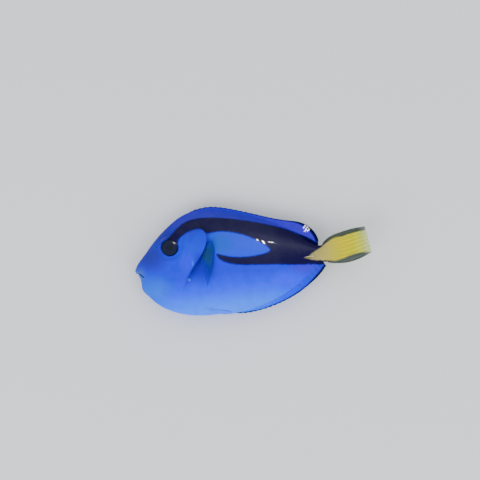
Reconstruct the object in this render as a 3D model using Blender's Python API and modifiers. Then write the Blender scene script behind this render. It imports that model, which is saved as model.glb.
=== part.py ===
"""A young regal blue tang, life size, lying on its right side with its tail flicked up.

Run it with blender --background --python part.py, or from Blender's text editor.
Sizes are millimetres in the fish's own frame, and become metres in the scene. In that frame s runs
from the snout to the tail, t from the belly to the back and n towards the fish's left side. In the
scene the fish lies on the floor: its head points to -X, its back to +Y and its left side up.
"""

import math

import bmesh
import bpy
import numpy as np
from mathutils import Vector

MM = 0.001
LEFT, RIGHT = 1, -1

# Overall sizes
TOTAL_LENGTH = 92.4
TAIL_ROOT = 75.0
GAP = 0.3
FLAT_DEPTH = 0.4
FLANK_HALF_WIDTH = 6.5
MID_HEIGHT = FLANK_HALF_WIDTH - FLAT_DEPTH
BEND_START = 52.0
TAIL_LIFT = 6.5
ORIGIN_S = 46.05
ORIGIN_T = 1.7

# Stations of the body: distance from the snout, back, belly, half width
STATIONS = (
    (0.0, 0.5, -0.9, 0.7),
    (0.9, 2.9, -4.2, 2.0),
    (2.2, 5.0, -6.8, 2.8),
    (4.2, 7.6, -9.5, 3.5),
    (7.2, 11.2, -12.7, 4.25),
    (11.0, 14.7, -15.4, 4.95),
    (16.0, 18.3, -17.6, 5.6),
    (22.0, 21.3, -19.0, 6.1),
    (28.0, 22.2, -19.4, 6.42),
    (35.0, 21.0, -19.2, FLANK_HALF_WIDTH),
    (45.0, 18.2, -17.4, 6.0),
    (55.0, 14.3, -14.0, 4.9),
    (63.0, 9.8, -9.9, 3.6),
    (69.0, 5.5, -5.6, 2.55),
    (72.6, 3.4, -3.5, 1.95),
    (TAIL_ROOT, 3.3, -3.5, 1.4),
)
FULLNESS = 0.57
SNOUT_TIP = 0.05
SHARPEST_MITRE = 0.3
RINGS = 60
RING_SPREAD = 1.5
RING_POINTS = 40
CREASE_ANGLE = math.radians(22)

# Head and gill covers
GILL_LINE = (
    (22.6, 26.0),
    (23.6, 20.5),
    (26.9, 15.4),
    (29.1, 10.2),
    (27.4, 4.6),
    (22.4, -2.0),
    (18.7, -8.0),
    (16.4, -13.0),
    (15.0, -22.0),
)
CHEEK_LINE = (
    (25.0, 16.6),
    (22.3, 11.6),
    (20.7, 6.0),
    (18.3, 0.2),
    (16.4, -5.2),
    (15.6, -10.8),
)
GILL_COVER_TOP = 16.8
GILL_COVER_FOOT = -11.4
GILL_COVER_THICKNESS = 0.8
GILL_COVER_STEP = 0.55
EYE_S, EYE_T = 14.5, 7.9
EYE_RADIUS = 3.1
EYE_DEPTH = 1.9
EYE_SINK = 0.68
ORBIT_RIM, ORBIT_CLEARANCE = 0.42, 0.25
NOSTRILS = ((9.3, 9.2, 0.42), (10.5, 10.1, 0.32))
NOSTRIL_RIM = 0.18
MOUTH_CORNER_S, MOUTH_CORNER_T = 2.9, -2.75
MOUTH_FRONT_T = -0.95
MOUTH_GAPE = 0.8
UPPER_LIP = {"front": 0.4, "drop": 0.72, "corner_drop": 0.35}
LOWER_LIP = {"front": 0.62, "drop": -0.72, "corner_drop": -0.35}
LIP_RADIUS, LIP_SINK, LIP_TAPER = 0.78, 0.05, 0.45
LIP_STEPS = 12

# Tail stalk and its spines
STALK_START = 65.8
SPINE_TIP_S, SPINE_T = 66.7, -1.2
SPINE_LENGTH, SPINE_RADIUS = 3.4, 0.48

# Fins: thicknesses of the fleshy root, a ray, the membrane between rays and the outer edge
ROOT_THICKNESS = 1.3
RAY_THICKNESS = 0.95
WEB_THICKNESS = 0.5
EDGE_THICKNESS = 0.42
FIN_CLEARANCE = GAP + RAY_THICKNESS / 2 + 0.05

DORSAL_BASE = (22.8, 70.2)
DORSAL_RAYS = 28
DORSAL_EDGE = (
    (24.6, 23.3),
    (27.4, 24.0),
    (31.4, 24.4),
    (36.0, 23.8),
    (42.0, 22.0),
    (49.0, 19.5),
    (56.0, 16.9),
    (61.5, 15.3),
    (66.5, 13.9),
    (69.8, 11.7),
    (71.9, 8.8),
    (72.9, 5.9),
)
ANAL_BASE = (37.5, 70.4)
ANAL_RAYS = 21
ANAL_EDGE = (
    (39.4, -20.3),
    (44.0, -20.1),
    (50.0, -19.1),
    (56.0, -17.4),
    (62.0, -14.9),
    (67.4, -11.6),
    (71.9, -8.1),
    (74.5, -5.3),
)
TAIL_RAYS = 16
TAIL_UPPER = ((75.5, 3.7), (76.7, 5.2), (79.0, 6.5), (82.0, 7.4), (86.0, 8.0), (91.2, 7.9))
TAIL_LOWER = ((75.5, -3.5), (76.7, -4.3), (79.0, -4.9), (82.0, -5.2), (86.0, -4.8), (92.4, -2.7))
PLEAT_HEIGHT = 0.22

PECTORAL_RAYS = 14
PECTORAL_ROOT = ((30.1, 8.9), (28.7, 6.7))
PECTORAL_BOW = ((31.9, -0.2), (27.2, 4.0))
PECTORAL_TIP = ((27.2, -9.6), (26.0, -4.6), (25.8, 0.4))
PECTORAL_STAND_OFF = 0.5
PELVIC_RAYS = 4
PELVIC_ROOT = ((24.6, -18.3), (25.4, -17.1))
PELVIC_TIP = ((36.6, -21.0), (36.0, -19.5))
PELVIC_EASE = 0.12

COLOURS = {
    "skin blue": ("3472ED", 0.3),
    "deep blue": ("2B4ECF", 0.3),
    "fin blue": ("3F6BD8", 0.35),
    "tail yellow": ("C4B93C", 0.4),
    "pectoral teal": ("1F5A8A", 0.35),
    "eye black": ("13223E", 0.05),
    "spine ivory": ("CFC58E", 0.35),
}


def spline(knots):
    """A natural cubic spline through the knots, as a function of its first coordinate."""
    x, y = np.array(knots, float).T
    steps = np.diff(x)
    slopes = np.diff(y) / steps
    matrix = np.eye(len(x))
    right = np.zeros(len(x))
    for i in range(1, len(x) - 1):
        matrix[i, i - 1 : i + 2] = steps[i - 1], 2 * (steps[i - 1] + steps[i]), steps[i]
        right[i] = 6 * (slopes[i] - slopes[i - 1])
    bend = np.linalg.solve(matrix, right)

    def at(value):
        i = int(np.clip(np.searchsorted(x, value) - 1, 0, len(steps) - 1))
        low, high = value - x[i], x[i + 1] - value
        cubic = (bend[i] * high**3 + bend[i + 1] * low**3) / (6 * steps[i])
        straight = (y[i] / steps[i] - bend[i] * steps[i] / 6) * high
        return cubic + straight + (y[i + 1] / steps[i] - bend[i + 1] * steps[i] / 6) * low

    return at


def curve_through(points):
    """A smooth plane curve through the points, as a function of a share from 0 to 1."""
    lengths = [math.dist(a, b) for a, b in zip(points, points[1:])]
    shares = np.concatenate([[0.0], np.cumsum(lengths)]) / sum(lengths)
    first, second = ([(share, p[i]) for share, p in zip(shares, points)] for i in (0, 1))
    along, across = spline(first), spline(second)
    return lambda share: (along(share), across(share))


def station_curve(column):
    """One column of STATIONS as a smooth function of s. Working in the root of s rounds the snout."""
    through = spline([(math.sqrt(row[0]), row[column]) for row in STATIONS])
    return lambda s: through(math.sqrt(max(s, 0.0)))


back, belly, half_width = (station_curve(column) for column in (1, 2, 3))


def flank(s, t):
    """Half the body's thickness at a point of its side, 0 outside its outline."""
    s = min(s, TAIL_ROOT)
    middle, reach = (back(s) + belly(s)) / 2, (back(s) - belly(s)) / 2
    level = (t - middle) / reach
    return half_width(s) * max(0.0, 1 - level * level) ** FULLNESS


def stand_off(s, t, distance):
    """How far from the middle plane a point lies that keeps this distance from the skin of the side."""
    shifts = [distance * math.sin(math.radians(turn)) for turn in range(-90, 91, 15)]
    return max(flank(s, t + shift) + math.sqrt(max(0.0, distance**2 - shift**2)) for shift in shifts)


def flank_normal(s, t, side):
    """The way out of the skin at a point of its side, in the fish's frame."""
    step = 0.4
    along = (flank(s + step, t) - flank(s - step, t)) / (2 * step)
    up = (flank(s, t + step) - flank(s, t - step)) / (2 * step)
    return Vector((-along, -up, side)).normalized()


def place(s, t, n):
    """A point of the fish's frame as a point of the scene, with the bend of the tail."""
    share = max(0.0, (s - BEND_START) / (TOTAL_LENGTH - BEND_START))
    lift = TAIL_LIFT * share * share
    return Vector((s - ORIGIN_S, t - ORIGIN_T, n + lift + MID_HEIGHT)) * MM


def offset_line(points, distance):
    """The points of an open line moved sideways, to its left as seen along it, with mitred corners."""
    normals = []
    for (x, y), (next_x, next_y) in zip(points, points[1:]):
        length = math.hypot(next_x - x, next_y - y)
        normals.append(Vector(((y - next_y) / length, (next_x - x) / length)))
    moved = []
    for i, point in enumerate(points):
        before, after = normals[max(i - 1, 0)], normals[min(i, len(normals) - 1)]
        mitre = (before + after) / max(SHARPEST_MITRE, 1 + before.dot(after))
        moved.append(tuple(Vector(point) + mitre * distance))
    return moved


def sampled(points, count):
    """The smooth curve through the points, as a list of count points."""
    curve = curve_through(points)
    return [curve(i / (count - 1)) for i in range(count)]


def collection(name):
    """A collection of the scene, made when it is first asked for."""
    found = bpy.data.collections.get(name)
    if found is None:
        found = bpy.data.collections.new(name)
        bpy.context.scene.collection.children.link(found)
    return found


def new_object(name, mesh, group="regal_blue_tang"):
    """An object that shows the mesh, in a collection."""
    obj = bpy.data.objects.new(name, mesh)
    collection(group).objects.link(obj)
    return obj


def from_bmesh(name, bm, group="regal_blue_tang"):
    """An object made from a bmesh, which is freed."""
    bmesh.ops.recalc_face_normals(bm, faces=bm.faces)
    mesh = bpy.data.meshes.new(name)
    bm.to_mesh(mesh)
    bm.free()
    return new_object(name, mesh, group)


def paint(obj, name):
    """Gives the object one of the fish's colours."""
    material = bpy.data.materials.get(name)
    if material is None:
        code, roughness = COLOURS[name]
        material = bpy.data.materials.new(name)
        material.use_nodes = True
        shader = material.node_tree.nodes["Principled BSDF"]
        shades = [int(code[i : i + 2], 16) / 255 for i in (0, 2, 4)]
        linear = [c / 12.92 if c <= 0.04045 else ((c + 0.055) / 1.055) ** 2.4 for c in shades]
        shader.inputs["Base Color"].default_value = (*linear, 1.0)
        shader.inputs["Roughness"].default_value = roughness
        shader.inputs["Metallic"].default_value = 0.0
    obj.data.materials.clear()
    obj.data.materials.append(material)
    obj.data.shade_smooth()
    obj.data.set_sharp_from_angle(angle=CREASE_ANGLE)


def evaluated_mesh(obj):
    """The mesh that the object's modifiers or curve settings make."""
    bpy.context.view_layer.update()
    graph = bpy.context.evaluated_depsgraph_get()
    return bpy.data.meshes.new_from_object(obj.evaluated_get(graph))


def as_mesh(obj, group):
    """A curve as a closed mesh object in the same place. The curve is removed."""
    mesh = evaluated_mesh(obj)
    bm = bmesh.new()
    bm.from_mesh(mesh)
    bmesh.ops.remove_doubles(bm, verts=bm.verts, dist=0.01 * MM)
    name, matrix = obj.name, obj.matrix_world.copy()
    bpy.data.objects.remove(obj)
    made = from_bmesh(name, bm, group)
    made.matrix_world = matrix
    return made


def loft(name, rings, group="regal_blue_tang"):
    """A closed skin over rings of points, with a flat cap on the first and the last."""
    bm = bmesh.new()
    rows = [[bm.verts.new(point) for point in ring] for ring in rings]
    for low, high in zip(rows, rows[1:]):
        for i in range(len(low)):
            j = (i + 1) % len(low)
            bm.faces.new((low[i], low[j], high[j], high[i]))
    bm.faces.new(rows[0])
    bm.faces.new(rows[-1])
    return from_bmesh(name, bm, group)


def prism(name, outline, low=-30.0, high=30.0):
    """A cutter: a flat outline in s and t, as thick as from low to high in n."""
    data = bpy.data.curves.new(name, "CURVE")
    data.dimensions, data.fill_mode, data.extrude = "2D", "BOTH", (high - low) / 2 * MM
    line = data.splines.new("POLY")
    line.points.add(len(outline) - 1)
    line.use_cyclic_u = True
    for point, (s, t) in zip(line.points, outline):
        point.co = ((s - ORIGIN_S) * MM, (t - ORIGIN_T) * MM, 0.0, 1.0)
    curve = new_object(name, data, "cutters")
    curve.location.z = ((low + high) / 2 + MID_HEIGHT) * MM
    return as_mesh(curve, "cutters")


def tube(name, points, radii, group):
    """A round bar through points of the fish's frame, with its own radius at each."""
    data = bpy.data.curves.new(name, "CURVE")
    data.dimensions, data.bevel_depth, data.bevel_resolution = "3D", MM, 2
    data.use_fill_caps = True
    line = data.splines.new("POLY")
    line.points.add(len(points) - 1)
    for knot, point, radius in zip(line.points, points, radii):
        knot.co = (*place(*point), 1.0)
        knot.radius = radius
    return as_mesh(new_object(name, data, group), group)


def apply_modifiers(obj):
    """Replaces the object's mesh by the one that its modifiers make."""
    mesh = evaluated_mesh(obj)
    obj.modifiers.clear()
    obj.data = mesh


def combine(obj, tools, operation):
    """Joins the tools to the object, or cuts it by them, and removes them. It keeps the largest body."""
    group = collection(f"{obj.name} {operation.lower()}")
    for tool in tools:
        for holder in list(tool.users_collection):
            holder.objects.unlink(tool)
        group.objects.link(tool)
    cut = obj.modifiers.new(operation.lower(), "BOOLEAN")
    cut.operation, cut.operand_type, cut.collection, cut.solver = operation, "COLLECTION", group, "EXACT"
    apply_modifiers(obj)
    for tool in tools:
        bpy.data.objects.remove(tool)
    bpy.data.collections.remove(group)
    keep_largest(obj)


def keep_largest(obj):
    """Leaves only the closed surface that holds the most, without scraps or sealed hollows."""
    bm = bmesh.new()
    bm.from_mesh(obj.data)
    bmesh.ops.remove_doubles(bm, verts=bm.verts, dist=0.0001 * MM)
    bodies, left = [], set(bm.faces)
    while left:
        body, edge = set(), {left.pop()}
        while edge:
            body |= edge
            edge = {f for face in edge for e in face.edges for f in e.link_faces} - body
        left -= body
        bodies.append(body)

    def held(body):
        return abs(sum(f.calc_center_median().dot(f.normal) * f.calc_area() for f in body))

    largest = max(bodies, key=held)
    bmesh.ops.delete(bm, geom=[f for f in bm.faces if f not in largest], context="FACES")
    bm.to_mesh(obj.data)
    bm.free()


def body_piece(name, outline):
    """The whole body, as a loft of sections, kept only inside an outline in s and t."""
    rings = []
    for i in range(RINGS):
        s = max(SNOUT_TIP, TAIL_ROOT * (i / (RINGS - 1)) ** RING_SPREAD)
        middle, reach = (back(s) + belly(s)) / 2, (back(s) - belly(s)) / 2
        angles = [2 * math.pi * j / RING_POINTS for j in range(RING_POINTS)]
        levels = [middle + reach * math.cos(angle) for angle in angles]
        sides = [LEFT if math.sin(angle) >= 0 else RIGHT for angle in angles]
        rings.append([place(s, t, side * flank(s, t)) for t, side in zip(levels, sides)])
    piece = loft(name, rings)
    combine(piece, [prism(f"{name} bounds", outline)], "INTERSECT")
    return piece


def floor_block():
    """A cutter under the floor, which flattens what would reach through it."""
    size = 2 * TOTAL_LENGTH * MM
    bpy.ops.mesh.primitive_cube_add(size=size, location=(0.0, 0.0, -size / 2))
    return bpy.context.object


def torus_on_flank(name, s, t, side, major, minor, sides):
    """A ring that lies on the skin, for the rim of an eye or a nostril."""
    turn = flank_normal(s, t, side).to_track_quat("Z", "Y").to_euler()
    bpy.ops.mesh.primitive_torus_add(
        major_radius=major * MM,
        minor_radius=minor * MM,
        major_segments=sides,
        minor_segments=8,
        location=place(s, t, side * flank(s, t)),
        rotation=turn,
    )
    bpy.context.object.name = name
    return bpy.context.object


def ball_on_flank(name, s, t, side, radius, depth, sink, segments=24):
    """A ball flattened along the way out of the skin, its middle sunk below the skin."""
    out = flank_normal(s, t, side)
    bm = bmesh.new()
    rings = segments // 2
    bmesh.ops.create_uvsphere(bm, u_segments=segments, v_segments=rings, radius=radius * MM)
    bmesh.ops.scale(bm, vec=(1.0, 1.0, depth / radius), verts=bm.verts)
    ball = from_bmesh(name, bm)
    ball.rotation_euler = out.to_track_quat("Z", "Y").to_euler()
    ball.location = place(s, t, side * flank(s, t)) - out * sink * MM
    return ball


def lip(name, front, drop, corner_drop):
    """One lip as a bar round the front of the mouth, from one corner to the other."""
    points, radii = [], []
    for i in range(LIP_STEPS + 1):
        turn = math.pi * (i / LIP_STEPS - 0.5)
        share = abs(math.sin(turn))
        s = front + (MOUTH_CORNER_S - front) * share**2
        t = MOUTH_FRONT_T + drop + (MOUTH_CORNER_T + corner_drop - MOUTH_FRONT_T - drop) * share**2
        wide = (flank(MOUTH_CORNER_S, MOUTH_CORNER_T) - LIP_SINK) * math.sin(turn)
        points.append((s, t, wide))
        radii.append(LIP_RADIUS * (1 - LIP_TAPER * share**3))
    return tube(name, points, radii, "cutters")


def mouth_slit():
    """A cutter for the opening between the lips, a wedge from in front of the snout to the corners."""
    corner = (MOUTH_CORNER_S, MOUTH_CORNER_T)
    slope = (MOUTH_CORNER_T - MOUTH_FRONT_T) / MOUTH_CORNER_S
    front_t = MOUTH_FRONT_T - slope * MOUTH_CORNER_S
    upper = (-MOUTH_CORNER_S, front_t + MOUTH_GAPE / 2)
    lower = (-MOUTH_CORNER_S, front_t - MOUTH_GAPE / 2)
    return prism("mouth slit", (upper, lower, corner))


def gill_cover(name, side, grow=0.0):
    """A plate that follows the skin from the cheek to the gill opening, where it stands proud."""
    rear, front = sampled(GILL_LINE, 60), curve_through(CHEEK_LINE)
    foot, top = GILL_COVER_FOOT - grow, GILL_COVER_TOP + grow
    inside = [point for point in rear if foot < point[1] < top]
    rear_at = curve_through(offset_line(inside, 3 * grow - GAP))
    bm = bmesh.new()
    bmesh.ops.create_grid(bm, x_segments=7, y_segments=13, size=0.5)
    half = (GILL_COVER_THICKNESS + 2 * grow) / 2
    for vert in bm.verts:
        across, down = vert.co.x + 0.5, 0.5 - vert.co.y
        front_s, front_t = front(down)
        rear_s, rear_t = rear_at(down)
        front_s -= 1.8 * grow
        s = front_s + (rear_s - front_s) * across
        t = front_t + (rear_t - front_t) * across + grow * (1 - 2 * down)
        proud = GILL_COVER_STEP * across * across
        vert.co = place(s, t, side * (flank(s, t) + proud + grow - half))
    bmesh.ops.triangulate(bm, faces=bm.faces)
    plate = from_bmesh(name, bm)
    shell = plate.modifiers.new("thickness", "SOLIDIFY")
    shell.thickness, shell.offset = 2 * half * MM, 0.0
    apply_modifiers(plate)
    return plate


def fin(name, rays, rows, path, colour, root=ROOT_THICKNESS):
    """A membrane with a raised ridge for each ray, on a middle surface.

    path(across, along) gives that surface in the fish's frame: across runs from the first ray to the
    last, and along from the root to the outer edge.
    """
    bm = bmesh.new()
    bmesh.ops.create_grid(bm, x_segments=2 * rays, y_segments=rows, size=0.5)
    shares = [(vert.co.x + 0.5, vert.co.y + 0.5) for vert in bm.verts]
    for vert, (across, along) in zip(bm.verts, shares):
        vert.co = place(*path(across, along))
    bmesh.ops.triangulate(bm, faces=bm.faces)
    membrane = from_bmesh(name, bm)
    weights = membrane.vertex_groups.new(name="thickness")
    for index, (across, along) in enumerate(shares):
        ridge = 0.5 - 0.5 * math.cos(2 * math.pi * rays * across)
        middle = WEB_THICKNESS + (RAY_THICKNESS - WEB_THICKNESS) * ridge
        fleshy = max(0.0, 1 - along * rows)
        thin = max(0.0, along * rows - (rows - 1))
        depth = middle + (root - middle) * fleshy + (EDGE_THICKNESS - middle) * thin
        weights.add([index], depth / ROOT_THICKNESS, "REPLACE")
    shell = membrane.modifiers.new("thickness", "SOLIDIFY")
    shell.thickness, shell.offset = ROOT_THICKNESS * MM, 0.0
    shell.vertex_group, shell.thickness_vertex_group = weights.name, 0.0
    apply_modifiers(membrane)
    paint(membrane, colour)
    return membrane


def edge_fin_path(base, edge, rim, way):
    """The middle surface of a fin on the back or the belly, from its base on the rim out to its edge."""
    outer = curve_through(edge)

    def path(across, along):
        root_s = base[0] + (base[1] - base[0]) * across
        root_t = rim(root_s) + way * GAP
        tip_s, tip_t = outer(across)
        return root_s + (tip_s - root_s) * along, root_t + (tip_t - root_t) * along, 0.0

    return path


def tail_fin_path(across, along):
    """The middle surface of the half-folded tail fin, with a shallow pleat at each ray."""
    upper, lower = curve_through(TAIL_UPPER)(along), curve_through(TAIL_LOWER)(along)
    s = upper[0] + (lower[0] - upper[0]) * across
    t = upper[1] + (lower[1] - upper[1]) * across
    pleat = PLEAT_HEIGHT * along * math.sin(math.pi * TAIL_RAYS * across)
    return s, t, pleat


def quadratic(a, b, c, share):
    """A point on the quadratic curve from a to c that is drawn towards b."""
    rest = 1 - share
    return tuple(rest * rest * p + 2 * rest * share * q + share * share * r for p, q, r in zip(a, b, c))


def mix(a, b, share):
    """The point that lies a share of the way from a to b."""
    return tuple(p + (q - p) * share for p, q in zip(a, b))


def pectoral_plan(across, along):
    """Where a point of the folded pectoral fin lies over the flank, in s and t."""
    root = mix(*PECTORAL_ROOT, across)
    bow = mix(*PECTORAL_BOW, across)
    tip = curve_through(PECTORAL_TIP)(across)
    return quadratic(root, bow, tip, along)


def pectoral_path(side):
    """The middle surface of a pectoral fin that lies along the flank, or is pressed flat under it."""

    def path(across, along):
        s, t = pectoral_plan(across, along)
        clear = stand_off(s, t, FIN_CLEARANCE) + PECTORAL_STAND_OFF * along**2
        if side == RIGHT:
            clear = min(clear, MID_HEIGHT - RAY_THICKNESS / 2)
        return s, t, side * clear

    return path


def pectoral_pocket():
    """A cutter for the dent that the right pectoral fin presses into the flank that lies on it."""
    shares = [i / 8 for i in range(9)]
    outline = [pectoral_plan(0.0, share) for share in shares]
    outline += [pectoral_plan(share, 1.0) for share in shares[1:]]
    outline += [pectoral_plan(1.0, 1 - share) for share in shares[1:]]
    closed = outline + outline[:2]
    grown = offset_line(closed, 2 * GAP)[1:-1]
    floor_level = -2 * MID_HEIGHT
    return prism("pectoral pocket", grown, floor_level, RAY_THICKNESS + 1.5 * GAP - MID_HEIGHT)


def pelvic_path(side):
    """The middle surface of a pelvic fin folded back along the keel of the belly.

    It is straight from its first ray to its last, which each keep clear of the keel.
    """

    def path(across, along):
        first = mix(PELVIC_ROOT[0], PELVIC_TIP[0], along)
        last = mix(PELVIC_ROOT[1], PELVIC_TIP[1], along)
        low, high = (max(stand_off(*spot, FIN_CLEARANCE), FIN_CLEARANCE) for spot in (first, last))
        s, t = mix(first, last, across)
        return s, t, side * (low + (high - low) * across + PELVIC_EASE)

    return path


def tail_spine(name, side, grow=0.0):
    """The sharp spine in its groove on the tail stalk, pointing forward."""
    s = SPINE_TIP_S + SPINE_LENGTH / 2
    bm = bmesh.new()
    bmesh.ops.create_cone(
        bm,
        cap_ends=True,
        segments=12,
        radius1=(SPINE_RADIUS + grow) * MM,
        radius2=(0.06 + grow) * MM,
        depth=(SPINE_LENGTH + 2 * grow) * MM,
    )
    spine = from_bmesh(name, bm)
    root_s = s + SPINE_LENGTH / 2
    low = Vector((SPINE_TIP_S, SPINE_T, side * flank(SPINE_TIP_S, SPINE_T)))
    high = Vector((root_s, SPINE_T, side * flank(root_s, SPINE_T)))
    spine.location = (place(*low) + place(*high)) / 2
    spine.rotation_euler = (place(*low) - place(*high)).to_track_quat("Z", "Y").to_euler()
    return spine


def make_head():
    """The head in front of the gill openings, with its lips, eye sockets and nostrils."""
    line = sampled(GILL_LINE, 40)
    front = offset_line(line, -GAP / 2)
    head = body_piece("head", [(-5.0, 30.0), *front, (-5.0, -30.0)])
    added = [
        lip("upper lip", **UPPER_LIP),
        lip("lower lip", **LOWER_LIP),
    ]
    removed = [mouth_slit(), floor_block()]
    for side in (LEFT, RIGHT):
        rim = EYE_RADIUS + ORBIT_CLEARANCE
        added.append(torus_on_flank("eye rim", EYE_S, EYE_T, side, rim, ORBIT_RIM, 28))
        socket = EYE_RADIUS + GAP, EYE_DEPTH + GAP, EYE_SINK
        removed.append(ball_on_flank("eye socket", EYE_S, EYE_T, side, *socket))
        removed.append(gill_cover("gill cover bed", side, GAP))
        for s, t, radius in NOSTRILS:
            added.append(torus_on_flank("nostril rim", s, t, side, radius, NOSTRIL_RIM, 12))
            pit = radius - NOSTRIL_RIM / 2
            removed.append(ball_on_flank("nostril pit", s, t, side, pit, radius, 0.0, segments=8))
    combine(head, added, "UNION")
    combine(head, removed, "DIFFERENCE")
    paint(head, "skin blue")


def make_trunk():
    """The torso and the tail stalk behind it, with the grooves of the tail spines."""
    gills = offset_line(sampled(GILL_LINE, 40), GAP / 2)
    stalk_edge = STALK_START - GAP / 2
    torso = body_piece("torso", [*gills, (stalk_edge, -30.0), (stalk_edge, 30.0)])
    combine(torso, [pectoral_pocket(), floor_block()], "DIFFERENCE")
    paint(torso, "skin blue")
    start, end = STALK_START + GAP / 2, TAIL_ROOT + 5.0
    stalk = body_piece("tail_stalk", [(start, 30.0), (start, -30.0), (end, -30.0), (end, 30.0)])
    combine(stalk, [tail_spine("groove", side, GAP) for side in (LEFT, RIGHT)], "DIFFERENCE")
    paint(stalk, "skin blue")


def make_middle_fins():
    """The three fins in the middle plane: on the back, behind the vent and on the tail."""
    dorsal = edge_fin_path(DORSAL_BASE, DORSAL_EDGE, back, 1)
    fin("dorsal_fin", DORSAL_RAYS, 4, dorsal, "deep blue")
    anal = edge_fin_path(ANAL_BASE, ANAL_EDGE, belly, -1)
    fin("anal_fin", ANAL_RAYS, 4, anal, "fin blue")
    fin("tail_fin", TAIL_RAYS, 7, tail_fin_path, "tail yellow", root=2.4)


def make_paired_parts():
    """Eyes, gill covers, paired fins and tail spines, one on each side."""
    for side, word in ((LEFT, "left"), (RIGHT, "right")):
        eye = ball_on_flank(f"eye_{word}", EYE_S, EYE_T, side, EYE_RADIUS, EYE_DEPTH, EYE_SINK)
        paint(eye, "eye black")
        cover = gill_cover(f"gill_cover_{word}", side)
        if side == RIGHT:
            combine(cover, [floor_block()], "DIFFERENCE")
        paint(cover, "skin blue")
        pectoral = f"pectoral_fin_{word}", PECTORAL_RAYS, 5, pectoral_path(side), "pectoral teal"
        fin(*pectoral, root=RAY_THICKNESS)
        pelvic = f"pelvic_fin_{word}", PELVIC_RAYS, 4, pelvic_path(side), "fin blue"
        fin(*pelvic, root=RAY_THICKNESS)
        paint(tail_spine(f"tail_spine_{word}", side), "spine ivory")


def main():
    """Clears the scene and makes the fish."""
    for obj in list(bpy.data.objects):
        bpy.data.objects.remove(obj)
    make_head()
    make_trunk()
    make_middle_fins()
    make_paired_parts()


main()
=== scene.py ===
"""A young regal blue tang, lying on its right side with its tail flicked up, dressed for a studio picture.

Sizes are millimetres in the fish's own frame unless a name says otherwise. There s runs from the
snout to the tail, t from the belly to the back and n towards the fish's left side. In the scene the
fish lies on the floor: its head points to -X, its back to +Y and its left side up.
"""

import logging
import math
from dataclasses import dataclass, field
from enum import Enum
from typing import Any, Optional, Sequence

import bmesh
import bpy
import numpy as np
from mathutils import Matrix, Vector

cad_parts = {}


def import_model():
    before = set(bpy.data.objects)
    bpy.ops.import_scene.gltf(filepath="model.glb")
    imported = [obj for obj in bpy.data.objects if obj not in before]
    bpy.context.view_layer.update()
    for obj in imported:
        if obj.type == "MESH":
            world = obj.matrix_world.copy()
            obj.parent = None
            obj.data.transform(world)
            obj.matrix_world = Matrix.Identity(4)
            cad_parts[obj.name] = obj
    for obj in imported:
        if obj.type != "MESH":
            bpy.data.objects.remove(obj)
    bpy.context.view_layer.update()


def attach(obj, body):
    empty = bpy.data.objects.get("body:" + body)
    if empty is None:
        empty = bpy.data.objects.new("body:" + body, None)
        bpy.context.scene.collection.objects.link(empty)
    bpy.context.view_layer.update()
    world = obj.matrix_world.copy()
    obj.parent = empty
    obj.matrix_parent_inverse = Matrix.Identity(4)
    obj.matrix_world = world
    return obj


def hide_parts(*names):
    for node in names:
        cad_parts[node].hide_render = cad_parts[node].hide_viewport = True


LOG = logging.getLogger("blue_tang")
MM = 0.001
Array = np.ndarray
Point = tuple[float, float]
OUTSIDE = -9.0  # a depth that lies outside every marking


class Axis(Enum):
    """The two ways over the fish's side, as the place of s or t in a point."""

    LENGTH = 0
    HEIGHT = 1


class Measure(Enum):
    """What is measured across the body, as its place in the row of a station."""

    BACK = 1
    BELLY = 2
    HALF_WIDTH = 3


class Side(Enum):
    """The two sides of the fish, as the sign of n."""

    LEFT = 1
    RIGHT = -1

    @property
    def word(self) -> str:
        """The side's name in the names of nodes and pieces."""
        return self.name.lower()


def linear(code: str) -> tuple[float, float, float, float]:
    """Turns a colour from an sRGB hex code into the linear values that a shader takes.

    Args:
        code: Six hex digits, red first.

    Returns:
        Linear red, green, blue and an alpha of 1.
    """
    shades = [int(code[i : i + 2], 16) / 255 for i in (0, 2, 4)]
    red, green, blue = (c / 12.92 if c <= 0.04045 else ((c + 0.055) / 1.055) ** 2.4 for c in shades)
    return red, green, blue, 1.0


def add_node(tree: Any, kind: str, links: Optional[dict[Any, Any]] = None, **settings: Any) -> Any:
    """Adds a shader node.

    Args:
        tree: The node tree that it goes in.
        kind: Its type, without the ShaderNode in front.
        links: What goes into each input, by name or place: a socket is linked, a value is set.
        settings: Its own settings.

    Returns:
        The node.
    """
    made = tree.nodes.new(f"ShaderNode{kind}")
    for name, value in settings.items():
        setattr(made, name, value)
    for key, value in (links or {}).items():
        if isinstance(value, bpy.types.NodeSocket):
            tree.links.new(value, made.inputs[key])
        else:
            made.inputs[key].default_value = value
    return made


def set_inputs(shader: Any, values: dict[str, float]) -> None:
    """Sets sockets of a shader to plain values."""
    for name, value in values.items():
        shader.inputs[name].default_value = value


def new_material(name: str) -> tuple[Any, Any, Any]:
    """Starts a material.

    Args:
        name: What it is and how its surface looks.

    Returns:
        The material, its node tree and its shader.
    """
    made = bpy.data.materials.new(name)
    made.use_nodes = True
    return made, made.node_tree, made.node_tree.nodes["Principled BSDF"]


def smooth_step(value: Array, low: float, high: float) -> Array:
    """Rises smoothly from 0 at low to 1 at high. With low above high it falls instead."""
    share = np.clip((value - low) / (high - low), 0.0, 1.0)
    return share * share * (3 - 2 * share)


def hump(value: Array, width: float) -> Array:
    """A bell shape that is 1 at 0 and fades over about this width."""
    return np.exp(-((value / width) ** 2))


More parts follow.
